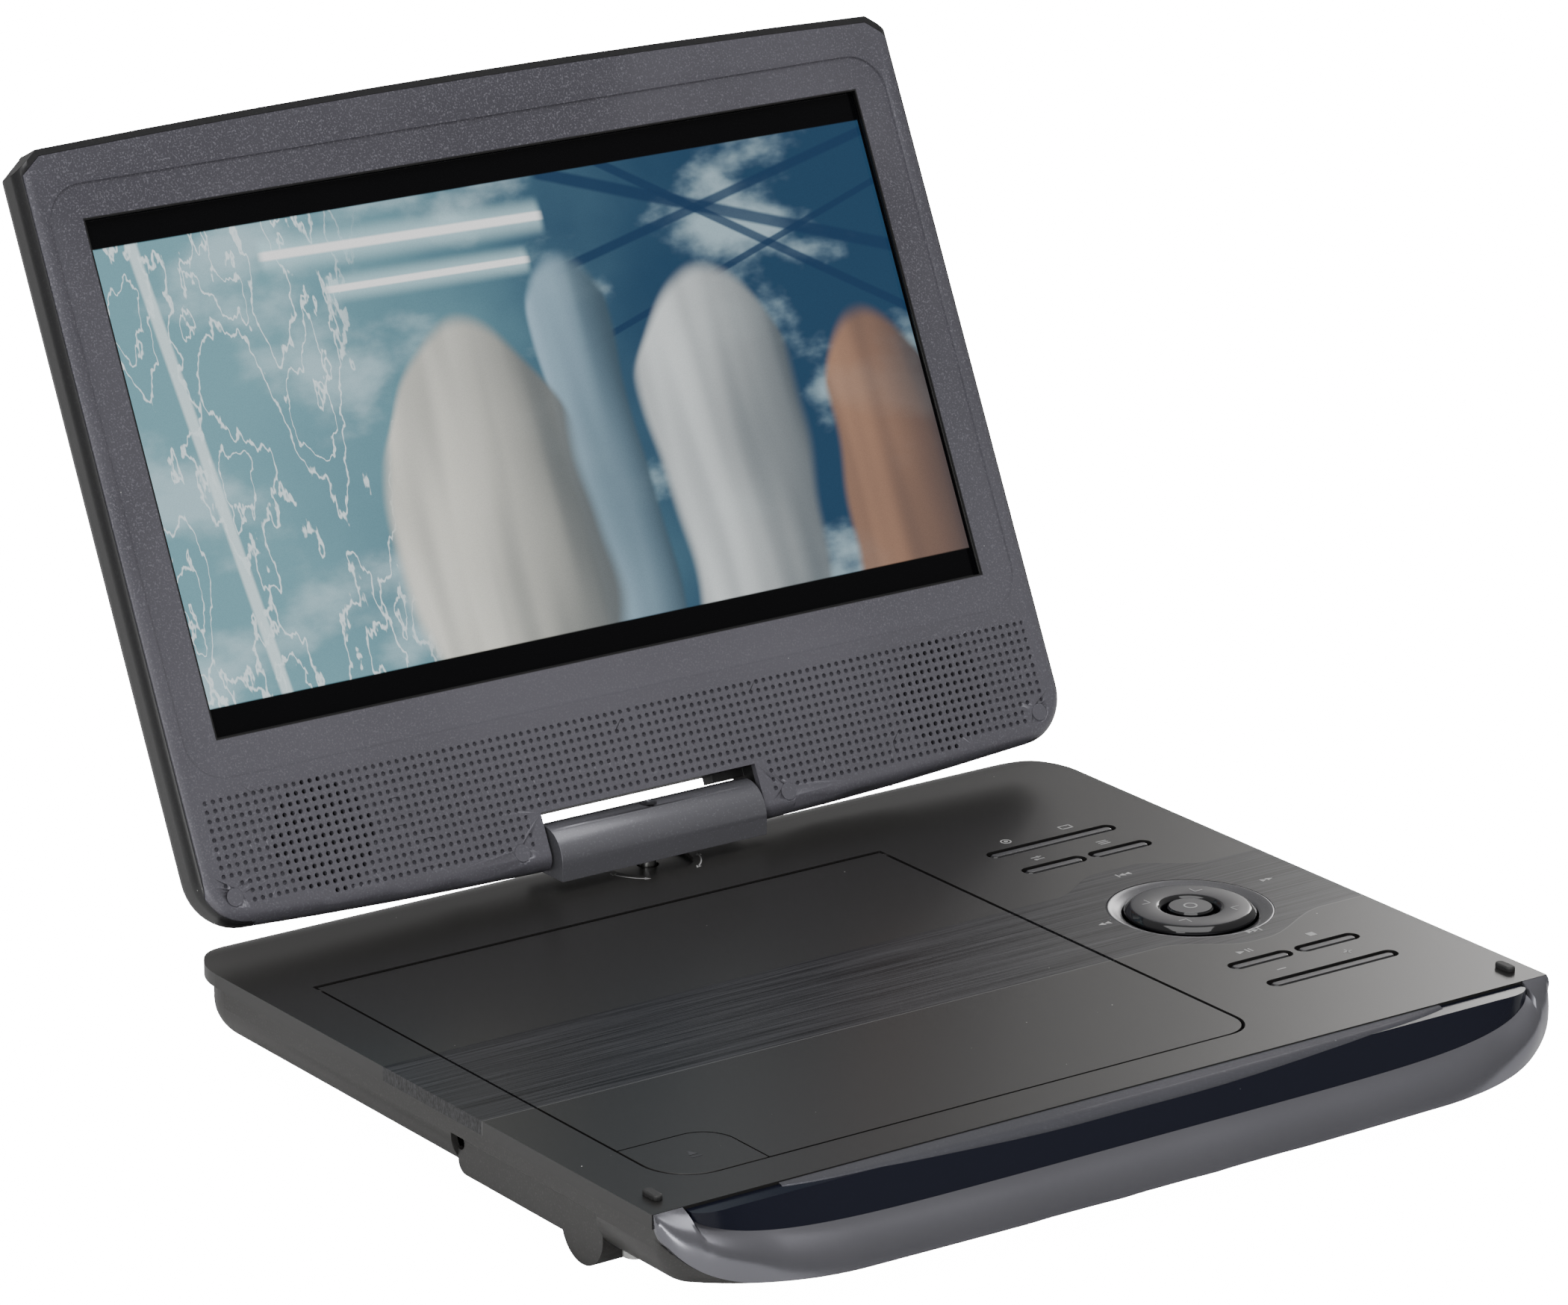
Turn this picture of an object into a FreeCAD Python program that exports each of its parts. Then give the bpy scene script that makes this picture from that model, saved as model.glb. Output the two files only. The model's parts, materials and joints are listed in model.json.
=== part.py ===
import FreeCAD, Part
import math
import os

import Sketcher

os.makedirs("parts", exist_ok=True)
doc = FreeCAD.newDocument("portable_player")
sheet = doc.addObject("Spreadsheet::Sheet", "dims")

# Frame: X to the right, Y to the back, Z up, millimetres.  The origin lies on the table
# under the middle of the base.  The screen stands open at its rest angle.

# ---------------------------------------------------------------- driving dimensions
DIMENSIONS = {
    # base shell
    "top_level": 23.5, "floor_level": 5.5, "seam_level": 20.1, "skin": 1.8, "top_skin": 2.0,
    "base_half": 126.0, "base_back": 110.0, "base_front": -88.5, "back_bow": 3.5,
    "case_inset": 2.2, "case_corner": 16.0, "case_round": 9.0, "nose_flat": 80.0, "nose_reach": -111.5,
    "nose_radius": 57.5, "back_roll": 18.0, "roll_start": 100.0,
    # front lip and thumb recess
    "lip_low": 7.4, "lip_reach": -108.0, "lip_radius": 64.0, "recess_half": 118.2,
    "recess_floor": 15.5, "recess_reach": -99.5, "ledge_drop": 0.7, "ledge_deep": 4.5,
    "bar_half": 94.0, "bar_deep": 6.2, "bar_drop": 4.4, "lip_skin": 2.2,
    # disc door and well
    "door_left": -111.4, "door_right": 49.3, "door_front": -75.7, "door_back": 68.8,
    "door_skin": 2.2, "door_gap": 0.8, "door_round": 8.0, "open_round": 12.0,
    "open_right": -86.4, "open_back": -54.4, "button_gap": 0.3,
    "disc_x": -31.0, "disc_y": -3.7, "well_radius": 62.5, "well_floor": 16.3, "deck_skin": 1.4,
    "disc_seat": 18.3, "hub_radius": 7.4, "turntable_radius": 13.0, "motor_radius": 11.0,
    # pickup drive
    "rod_radius": 1.25, "rod_spread": 15.0, "rod_level": 11.5, "sled_travel": 34.0,
    "lens_reach": 24.0, "screw_offset": 22.0, "screw_radius": 1.2, "running_gap": 0.05,
    # keys and dial
    "dial_x": 86.3, "dial_y": -6.1, "dish_radius": 20.0, "ring_radius": 15.8, "ok_radius": 5.5,
    "ok_groove": 6.8, "key_deep": 4.6, "key_gap": 0.2, "key_top": 23.35,
    "board_level": 16.4, "board_skin": 1.2, "switch_tall": 1.6,
    # hinge
    "axis_y": 95.7, "axis_z": 30.6, "post_y": 95.7, "post_radius": 2.2, "block_half": 29.9,
    "block_radius": 7.8, "block_floor": 26.3, "block_skin": 1.5, "pin_radius": 1.4,
    "swivel_dish": 11.0, "dish_deep": 1.0, "lid_lean": 25.9,
    # screen half, measured from the tilt axis
    "lid_half": 126.2, "lid_tall": 189.35, "lid_shoulder": 187.4, "lid_skin": 1.6,
    "lid_low": -3.45, "lid_corner": 13.0, "chamfer_wide": 6.3,
    "chamfer_tall": 4.75, "rear_round": 4.5, "border": 1.7,
    "notch_half": 31.3, "notch_top": 10.15, "window_low": 43.85, "window_wide": 222.7,
    "window_tall": 125.3, "frame_side": 120.8,
    "frame_step": 0.5, "hole_radius": 0.6, "hole_pitch": 2.2,
    "speaker_x": 90.5, "speaker_up": 16.4, "speaker_radius": 13.0, "plug_radius": 2.15,
    # underside
    "ridge_radius": 8.0, "ridge_y": -56.0, "pack_left": -122.0, "pack_right": 62.0,
    "pack_back": -7.0, "cell_radius": 6.75, "foot_radius": 6.0,
}
for row, (name, number) in enumerate(DIMENSIONS.items(), start=1):
    sheet.set("A%d" % row, name)
    sheet.set("B%d" % row, str(number))
    sheet.setAlias("B%d" % row, name)
doc.recompute()


class Size:
    """A length together with the formula that ties it to the sheet."""

    def __init__(self, value, formula):
        self.value = float(value)
        self.formula = formula

    def __float__(self):
        return self.value

    def __neg__(self):
        return Size(-self.value, "(0 - %s)" % self.formula)

    def __add__(self, other):
        return Size(self.value + float(other), "(%s + %s)" % (self.formula, formula_of(other)))

    def __sub__(self, other):
        return Size(self.value - float(other), "(%s - %s)" % (self.formula, formula_of(other)))

    def __mul__(self, other):
        return Size(self.value * float(other), "(%s * %s)" % (self.formula, formula_of(other)))

    def __truediv__(self, other):
        return Size(self.value / float(other), "(%s / %s)" % (self.formula, formula_of(other)))

    __radd__ = __add__
    __rmul__ = __mul__


def formula_of(number):
    return number.formula if isinstance(number, Size) else "%.6g" % number


class Sheet:
    """Every alias of the sheet as an attribute."""


d = Sheet()
for name in DIMENSIONS:
    setattr(d, name, Size(sheet.get(name), "dims." + name))

V = FreeCAD.Vector
pieces = []


def bind(thing, prop, size):
    """Give a property its value, tied to the sheet when the value comes from it."""
    if isinstance(size, Size):
        thing.setExpression(prop, size.formula)
    else:
        thing.setExpression(prop, "%.6g" % size)


# ---------------------------------------------------------------- sketch and feature helpers
def new_body(name):
    body = doc.addObject("PartDesign::Body", name)
    body.Label = name
    pieces.append(body)
    return body


def new_sketch(body, plane, level):
    """A sketch on one of the body's own origin planes, moved along the plane's normal."""
    sketch = body.newObject("Sketcher::SketchObject", body.Name + "_sketch")
    origin_plane = [f for f in body.Origin.OriginFeatures if f.Role == plane + "_Plane"][0]
    sketch.AttachmentSupport = [(origin_plane, "")]
    sketch.MapMode = "FlatFace"
    bind(sketch, ".AttachmentOffset.Base.z", level)
    return sketch


def draw_rect(sketch, left, low, right, high):
    """A rectangle held by four bound distances from the sketch origin."""
    x0, y0, x1, y1 = float(left), float(low), float(right), float(high)
    corners = [V(x0, y0), V(x1, y0), V(x1, y1), V(x0, y1)]
    first = sketch.GeometryCount
    for i in range(4):
        sketch.addGeometry(Part.LineSegment(corners[i], corners[(i + 1) % 4]))
    for i in range(4):
        sketch.addConstraint(Sketcher.Constraint("Coincident", first + i, 2, first + (i + 1) % 4, 1))
        sketch.addConstraint(Sketcher.Constraint(("Horizontal", "Vertical")[i % 2], first + i))
    for kind, edge, size in (("DistanceX", 0, left), ("DistanceY", 0, low),
                             ("DistanceX", 2, right), ("DistanceY", 2, high)):
        number = sketch.addConstraint(Sketcher.Constraint(kind, -1, 1, first + edge, 1, float(size)))
        bind(sketch, "Constraints[%d]" % number, size)


def draw_circle(sketch, x, y, radius):
    """A circle held by a bound radius and bound centre distances."""
    ring = sketch.addGeometry(Part.Circle(V(float(x), float(y)), V(0, 0, 1), float(radius)))
    number = sketch.addConstraint(Sketcher.Constraint("Radius", ring, float(radius)))
    bind(sketch, "Constraints[%d]" % number, radius)
    for kind, size in (("DistanceX", x), ("DistanceY", y)):
        if abs(float(size)) > 1e-6:
            number = sketch.addConstraint(Sketcher.Constraint(kind, -1, 1, ring, 3, float(size)))
            bind(sketch, "Constraints[%d]" % number, size)


def draw_path(sketch, start, *steps):
    """A closed outline: each step is (x, y) for a line or (mid_x, mid_y, x, y) for an arc."""
    here = V(float(start[0]), float(start[1]))
    for step in list(steps) + [start]:
        there = V(float(step[-2]), float(step[-1]))
        if len(step) == 4:
            middle = V(float(step[0]), float(step[1]))
            sketch.addGeometry(Part.Arc(here, middle, there))
        elif here.distanceToPoint(there) > 1e-6:
            sketch.addGeometry(Part.LineSegment(here, there))
        here = there


def draw_pill(sketch, x, y, length, deep):
    """A slot with round ends, lying along the sketch's first axis."""
    r = float(deep) / 2
    half = float(length) / 2 - r
    cx, cy = float(x), float(y)
    draw_path(sketch, (cx - half, cy - r), (cx + half, cy - r), (cx + half + r, cy, cx + half, cy + r),
              (cx - half, cy + r), (cx - half - r, cy, cx - half, cy - r))


def draw_round_rect(sketch, left, low, right, high, radii):
    """A rectangle with its own radius at each corner, from low-left round to high-left."""
    x0, y0, x1, y1 = float(left), float(low), float(right), float(high)
    a, b, c, e = radii
    k = 1 - math.sqrt(0.5)
    draw_path(sketch, (x0 + a, y0), (x1 - b, y0), (x1 - k * b, y0 + k * b, x1, y0 + b),
              (x1, y1 - c), (x1 - k * c, y1 - k * c, x1 - c, y1),
              (x0 + e, y1), (x0 + k * e, y1 - k * e, x0, y1 - e),
              (x0, y0 + a), (x0 + k * a, y0 + k * a, x0 + a, y0))


def volume_of(body):
    doc.recompute()
    return body.Shape.Volume


def pad(body, sketch, length):
    feature = body.newObject("PartDesign::Pad", body.Name + "_pad")
    feature.Profile = sketch
    bind(feature, "Length", length)
    body.Tip = feature
    return feature


def pocket(body, sketch, length, upward=True):
    """Cut from the sketch; the direction is turned round if it missed the solid."""
    before = volume_of(body)
    feature = body.newObject("PartDesign::Pocket", body.Name + "_pocket")
    feature.Profile = sketch
    feature.Reversed = upward
    bind(feature, "Length", length)
    body.Tip = feature
    if volume_of(body) > before - 1e-3:
        raise RuntimeError("%s: a pocket cut nothing" % body.Name)
    return feature


def revolve(body, sketch, axis=None):
    feature = body.newObject("PartDesign::Revolution", body.Name + "_turn")
    feature.Profile = sketch
    feature.ReferenceAxis = axis or (sketch, ["V_Axis"])
    feature.Angle = 360
    body.Tip = feature
    return feature


def edges_where(shape, test):
    return ["Edge%d" % n for n, edge in enumerate(shape.Edges, start=1) if test(edge)]


def fillet(body, test, radius):
    doc.recompute()
    base = body.Tip
    names = edges_where(base.Shape, test)
    if not names:
        raise RuntimeError("%s: no edge to round" % body.Name)
    feature = body.newObject("PartDesign::Fillet", body.Name + "_round")
    feature.Base = (base, names)
    bind(feature, "Radius", radius)
    body.Tip = feature
    return feature


def flat_at(level, tolerance=1e-3):
    """A test for edges that lie in the horizontal plane at a level."""
    def test(edge):
        box = edge.BoundBox
        return abs(box.ZMin - float(level)) < tolerance and abs(box.ZMax - float(level)) < tolerance
    return test


def keep_shape(name, shape, *drop):
    """A plain shape as a piece of its own, in place of the bodies it was made from."""
    for body in drop:
        pieces.remove(body)
        body.Label = name + "_blank"
    feature = doc.addObject("Part::Feature", name)
    feature.Label = name
    feature.Shape = shape
    pieces.append(feature)
    return feature


def largest(shape):
    """The biggest solid of a shape, without slivers left by a cut."""
    return max(shape.Solids, key=lambda solid: solid.Volume)


def box(x0, y0, z0, x1, y1, z1):
    x0, y0, z0, x1, y1, z1 = (float(n) for n in (x0, y0, z0, x1, y1, z1))
    return Part.makeBox(x1 - x0, y1 - y0, z1 - z0, V(x0, y0, z0))


def rod(x, y, z, radius, length, direction=(0, 0, 1)):
    return Part.makeCylinder(float(radius), float(length), V(float(x), float(y), float(z)), V(*direction))


def lid_placement():
    """Where the screen half stands: turned back about the tilt axis."""
    turn = FreeCAD.Rotation(V(1, 0, 0), -float(d.lid_lean))
    return FreeCAD.Placement(V(0, float(d.axis_y), float(d.axis_z)), turn)


# ---------------------------------------------------------------- base outlines
BOW_RADIUS = 3200.0
CHEEK_RADIUS = 10.0


def inside_centre(outer, radius, x, side):
    """Centre of a circle touching an outer (x, y, radius) circle from inside, at a given x."""
    reach = float(outer[2]) - float(radius)
    return float(x), outer[1] + side * math.sqrt(reach ** 2 - (float(x) - outer[0]) ** 2)


def touch_point(outer, centre):
    """Where a circle with that centre touches the outer circle from inside."""
    dx, dy = centre[0] - outer[0], centre[1] - outer[1]
    scale = outer[2] / math.hypot(dx, dy)
    return outer[0] + dx * scale, outer[1] + dy * scale


def arc_middle(centre, radius, p, q):
    """The point half way along the short arc from p to q."""
    dx, dy = p[0] + q[0] - 2 * centre[0], p[1] + q[1] - 2 * centre[1]
    scale = float(radius) / math.hypot(dx, dy)
    return centre[0] + dx * scale, centre[1] + dy * scale


def mirrored(point):
    return -point[0], point[1]


def back_steps(half, back, corner):
    """Right side up to the left side round the bowed back edge, as path steps."""
    half, back, corner = float(half), float(back), float(corner)
    wide = float(d.base_half)
    bow = float(d.back_bow)
    bend = (wide ** 2 + bow ** 2) / (2 * bow)
    outer = (0.0, back - bend, bend)
    centre = inside_centre(outer, corner, half - corner, 1)
    side = (half, centre[1])
    top = touch_point(outer, centre)
    middle = arc_middle(centre, corner, side, top)
    return [side, middle + top, (0.0, back) + mirrored(top), mirrored(middle) + mirrored(side)]


def draw_top_plan(sketch, inset, front, back):
    """Plan of the top case: straight front, rounded back corners, gently bowed back edge."""
    half = float(d.base_half - inset)
    corner = float(d.case_corner + d.case_inset - inset)
    draw_path(sketch, (-half, front), (half, front), *back_steps(half, back, corner))


def nose_circles(reach, radius):
    """The nearly flat middle and the swept corner of a front edge, as (x, y, radius) circles."""
    bow = (0.0, float(reach) + BOW_RADIUS, BOW_RADIUS)
    centre = inside_centre(bow, radius, d.nose_flat, -1)
    return bow, centre + (float(radius),)


def nose_y(x, reach, radius):
    """Front edge in plan at a distance from the middle."""
    bow, sweep = nose_circles(reach, radius)
    circle = bow if abs(x) < touch_point(bow, sweep)[0] else sweep
    return circle[1] - math.sqrt(circle[2] ** 2 - (abs(x) - circle[0]) ** 2)


def draw_case_plan(sketch, inset):
    """Plan of the lower case: like the top at the back, with the bowed nose in front."""
    inset = float(inset)
    half = float(d.base_half - d.case_inset) - inset
    back = float(d.base_back - d.case_inset) - inset
    cheek = CHEEK_RADIUS - inset
    bow, sweep = nose_circles(float(d.nose_reach) + inset, float(d.nose_radius) - inset)
    front = touch_point(bow, sweep)
    centre = inside_centre(sweep, cheek, half - cheek, -1)
    turn = touch_point(sweep, centre)
    side = (half, centre[1])
    on_sweep = arc_middle(sweep, sweep[2], front, turn)
    on_cheek = arc_middle(centre, cheek, turn, side)
    draw_path(sketch, mirrored(front), (0.0, bow[1] - bow[2]) + front, on_sweep + turn, on_cheek + side,
              *back_steps(half, back, float(d.case_corner) - inset),
              mirrored(side), mirrored(on_cheek) + mirrored(turn), mirrored(on_sweep) + mirrored(front))


def corner_share(x):
    """0 along the middle of the front, rising to 1 at the ends of the lip."""
    return max(0.0, (abs(x) - 100.0) / (float(d.base_half) - 100.0))


def lip_low_z(x):
    """Height of the lip's lower edge, which climbs to the top edge at the corners."""
    climb = 1 - math.sqrt(max(0.0, 1 - corner_share(x) ** 2.55))
    return float(d.lip_low) + (float(d.top_level) - float(d.lip_low)) * climb


def recess_share(x):
    """How far the thumb recess has opened at a distance from the middle, from 0 to 1."""
    share = min(1.0, abs(x) / float(d.recess_half))
    return math.sqrt(1 - share ** 6)


def recess_edge(x):
    """Where the recess meets the lip: (y, z) in the section at x."""
    share = recess_share(x)
    y = float(d.base_front) - 0.2 - (float(d.base_front) - 0.2 - float(d.recess_reach)) * share
    crest = float(d.top_level) - 0.8 * min(1.0, share * 8)
    z = crest - (float(d.top_level) - 0.8 - float(d.recess_floor)) * share
    return y, z


HALF_RECESS = (117.4, 115.4, 112.2, 107.5, 101.0, 92.0, 79.0, 61.0, 36.0)
HALF_LIP = (125.8, 124.4, 122.0, 119.2) + HALF_RECESS
LIP_STATIONS = tuple(-x for x in HALF_LIP) + (0.0,) + HALF_LIP[::-1]
RIGHT_STATIONS = (-36.0, 0.0) + HALF_LIP[::-1]
RECESS_STATIONS = tuple(-x for x in HALF_RECESS) + (0.0,) + HALF_RECESS[::-1]
BAR_STATIONS = (-93.0, -85.0, -65.0, -35.0, 0.0, 35.0, 65.0, 85.0, 93.0)


def lip_section(x):
    """Corners of the lip's section at x: recess edge, belly, lower edge, then the inner side."""
    y_edge, z_edge = recess_edge(x)
    corner = corner_share(x)
    fuller = 4.2 * corner ** 2 * (1 - corner ** 12)
    y_low = min(nose_y(x, d.lip_reach, d.lip_radius) - fuller, y_edge - 0.9)
    z_low = lip_low_z(x)
    belly = 0.14 + 0.11 * min(1.0, 2 * corner) * (1 - corner ** 4)
    y_belly = (y_edge + y_low) / 2 - belly * (z_edge - z_low)
    z_belly = (z_edge + z_low) / 2 + belly * (y_edge - y_low)
    thick = min(float(d.lip_skin), 0.45 * (z_edge - z_low))
    return (y_edge, z_edge), (y_belly, z_belly), (y_low, z_low), thick


def loft_sections(body, stations, draw):
    """A smooth loft along X through one sketch per station."""
    sketches = []
    for x in stations:
        sketch = new_sketch(body, "YZ", x)
        draw(sketch, x)
        sketches.append(sketch)
    loft = body.newObject("PartDesign::AdditiveLoft", body.Name + "_loft")
    loft.Profile = sketches[0]
    loft.Sections = sketches[1:]
    body.Tip = loft
    doc.recompute()
    return loft


def make_front_trim():
    """The bright lip that wraps round the front, a curved shell on the nose of the base."""
    def draw(sketch, x):
        edge, belly, low, thick = lip_section(x)
        draw_path(sketch, edge, belly + low, (low[0] + thick, low[1]),
                  (belly[0] + thick, belly[1] - 0.55 * thick, edge[0] + 0.45 * thick, edge[1] - thick))
    body = new_body("front_trim")
    loft_sections(body, RIGHT_STATIONS, draw)
    above = box(-60, -200, d.top_level, 200, 0, 60)
    behind = box(-60, d.base_front, 0, 200, 0, 60)
    other_half = box(-60, -200, 0, 0, 0, 60)
    half = largest(body.Shape.cut(above).cut(behind).cut(other_half))
    mirror = half.mirror(V(0, 0, 0), V(1, 0, 0))
    return keep_shape("front_trim", half.fuse(mirror), body)


def bar_section(x):
    """Back, front, top and bottom of the grip bar's section at x."""
    share = math.sqrt(max(0.0, 1 - (abs(x) / float(d.bar_half)) ** 2.4))
    back, top = float(d.base_front) - 0.15, float(d.top_level) - 0.25
    front = back - 0.8 - (float(d.bar_deep) - 0.8) * share
    low = top - 0.9 - (float(d.bar_drop) - 0.9) * share
    return back, front, top, low


def bar_space():
    """The room above and behind the grip bar's lower edge."""
    def draw(sketch, x):
        back, front, top, low = bar_section(x)
        draw_path(sketch, (back + 2, top + 3), (front, top + 3), (front, low - 0.02), (back + 2, low - 0.02))
    body = new_body("bar_space")
    loft_sections(body, BAR_STATIONS, draw)
    return body


def make_recess_panel(trim, bar):
    """The dark crescent between the top edge and the lip: a flat ledge and a slope."""
    def draw(sketch, x):
        y_edge, z_edge = recess_edge(x)
        share = recess_share(x)
        ledge_z = float(d.top_level) - float(d.ledge_drop)
        back = float(d.base_front) - 0.1
        ledge_y = back - 0.3 - float(d.ledge_deep) * min(1.0, 2.2 * share)
        skin = 1.4
        y_edge = min(y_edge + 0.05, ledge_y - 0.3)
        z_edge = min(z_edge, ledge_z - 0.05)
        draw_path(sketch, (back, ledge_z), (ledge_y, ledge_z), (y_edge, z_edge),
                  (min(y_edge + 0.85, back - 0.1), z_edge - skin), (back, ledge_z - skin - 0.6 - 4.0 * share))
    body = new_body("front_recess_panel")
    loft_sections(body, RECESS_STATIONS, draw)
    room = bar_space()
    left = body.Shape.cut(trim.Shape).cut(room.Shape).cut(bar.Shape)
    return keep_shape("front_recess_panel", largest(left), body, room)


def case_solid(name, inset):
    """The lower case's outside, or the space inside it, as a rounded tub shape."""
    body = new_body(name)
    level = d.floor_level + inset
    sketch = new_sketch(body, "XY", level)
    draw_case_plan(sketch, inset)
    pad(body, sketch, d.seam_level - level - 0.05 + inset)
    fillet(body, flat_at(level), d.case_round - inset)
    doc.recompute()
    return body


def nose_cutter():
    """Everything in front of the top case and above the lip's lower edge."""
    def draw(sketch, x):
        low = lip_low_z(x) - 0.05
        back = float(d.base_front)
        draw_path(sketch, (back, 24.5), (-125.0, 24.5), (-125.0, low), (back, low))
    body = new_body("nose_space")
    loft_sections(body, LIP_STATIONS, draw)
    return body


def roll_cutter():
    """Everything above the long soft roll of the top case's back edge."""
    start, top, bend = float(d.roll_start), float(d.top_level), float(d.back_roll)
    reach = 14.0
    angle = math.asin(reach / bend)
    end = V(0, start + reach, top - bend + bend * math.cos(angle))
    middle = V(0, start + bend * math.sin(angle / 2), top - bend + bend * math.cos(angle / 2))
    arc = Part.Arc(V(0, start, top), middle, end).toShape()
    lines = [Part.LineSegment(end, V(0, start + reach, top + 5)).toShape(),
             Part.LineSegment(V(0, start + reach, top + 5), V(0, start, top + 5)).toShape(),
             Part.LineSegment(V(0, start, top + 5), V(0, start, top)).toShape()]
    face = Part.Face(Part.Wire([arc] + lines))
    face.translate(V(-150, 0, 0))
    return face.extrude(V(300, 0, 0))


KEYS = (
    ("source_key", 88.25, 50.4, 38.7),
    ("setup_key", 78.5, 36.65, 18.8),
    ("menu_key", 98.65, 36.65, 18.5),
    ("play_key", 77.85, -42.7, 18.5),
    ("stop_key", 98.0, -42.7, 18.6),
    ("volume_key", 88.15, -56.7, 38.5),
)


def make_top_case():
    """The top case: skirt all round, soft back edge, openings for door, dial, keys and post."""
    body = new_body("base_top_case")
    sketch = new_sketch(body, "XY", d.seam_level)
    draw_top_plan(sketch, 0, float(d.base_front), d.base_back)
    pad(body, sketch, d.top_level - d.seam_level)
    hollow = new_sketch(body, "XY", d.seam_level)
    draw_top_plan(hollow, d.skin + 0.4, float(d.base_front) + 1.6, d.base_back - 5)
    pocket(body, hollow, d.top_level - d.top_skin - d.seam_level)
    door = new_sketch(body, "XY", d.seam_level)
    draw_round_rect(door, d.door_left - d.door_gap, d.door_front - d.door_gap, d.door_right + d.door_gap,
                    d.door_back + 0.25, (float(d.open_round), float(d.door_round), 0.4, 0.4))
    pocket(body, door, 10)
    holes = new_sketch(body, "XY", d.seam_level)
    draw_circle(holes, d.dial_x, d.dial_y, d.dish_radius - 1.6)
    for key, x, y, length in KEYS:
        draw_pill(holes, x, y, length, d.key_deep)
    draw_circle(holes, 0, d.post_y, d.post_radius + 0.6)
    pocket(body, holes, 10)
    dish = new_sketch(body, "XY", d.top_level - 1.25)
    draw_circle(dish, d.dial_x, d.dial_y, d.dish_radius + 0.05)
    pocket(body, dish, 10)
    saucer = new_sketch(body, "XY", d.top_level - d.dish_deep)
    draw_circle(saucer, 0, d.post_y, d.swivel_dish)
    pocket(body, saucer, 10)
    for x in (d.door_left - 3.2, d.door_right + 3.2):
        lug = new_sketch(body, "XY", d.seam_level)
        draw_rect(lug, x - 2.2, d.door_back - 3.4, x + 2.2, d.door_back + 1.6)
        pad(body, lug, d.top_level - d.top_skin - d.seam_level)
    for x, y in KEY_BOARD_SCREWS:
        stand = new_sketch(body, "XY", d.board_level + d.board_skin)
        draw_circle(stand, x, y, 2.2)
        pad(body, stand, d.top_level - d.top_skin - d.board_level - d.board_skin)
        pilot = new_sketch(body, "XY", d.board_level + d.board_skin)
        draw_circle(pilot, x, y, SCREW_SHANK)
        pocket(body, pilot, 2.5)
    for x in (float(d.door_left), float(d.door_right)):
        side = 1 if x > 0 else -1
        bore = new_sketch(body, "YZ", x + side * 0.2)
        draw_circle(bore, d.door_back - 1.1, d.top_level - 1.2, 0.75)
        pocket(body, bore, 4.6, upward=side > 0)
    doc.recompute()
    return keep_shape("base_top_case", largest(body.Shape.cut(roll_cutter())), body)


def make_grip_bar():
    """The spindle-shaped bar along the top of the recess."""
    def draw(sketch, x):
        back, front, top, low = bar_section(x)
        draw_path(sketch, (back, top), (front + 0.55 * (back - front), top - 0.12 * (top - low)),
                  (front + 0.12 * (back - front), top - 0.42 * (top - low), front, low),
                  (back, low + 0.1))
    body = new_body("front_grip_bar")
    loft_sections(body, BAR_STATIONS, draw)
    return body


# Openings of the right side: middle along Y, width, bottom and top of the mouth.
PORTS = {
    "usb_port": (-52.0, 13.6, 10.0, 16.2),
    "card_slot": (-28.0, 25.0, 10.0, 12.8),
}
# Round sockets of the right side: middle along Y, bore radius, half width of the housing.
JACKS = {
    "headphone_jack": (6.0, 1.8, 3.4),
    "av_jack": (20.0, 1.8, 3.4),
    "dc_jack": (36.0, 2.75, 4.6),
}
JACK_LEVEL = 13.0
SOCKET_FACE = 121.3
SWITCH_Y = 58.0
CASE_SCREWS = ((-112.0, 78.0), (112.0, 78.0), (-117.8, -70.0), (112.0, -70.0))
DECK_SCREWS = ((-106.0, 58.0), (44.0, 58.0), (44.0, -70.0))
MAIN_BOARD_SCREWS = ((67.0, -73.0), (67.0, 63.0), (103.0, -73.0), (103.0, 63.0))
KEY_BOARD_SCREWS = ((69.0, -63.0), (109.0, -63.0), (69.0, 57.0), (109.0, 57.0))
CASE_FLOOR = 7.3
MAIN_BOARD_LEVEL = 8.4
MAIN_BOARD_TOP = 9.6
LEDGE_LEVEL = 21.0
DECK_SCREW_SEAT = 20.0
PACK_TOP = 14.8


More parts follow.
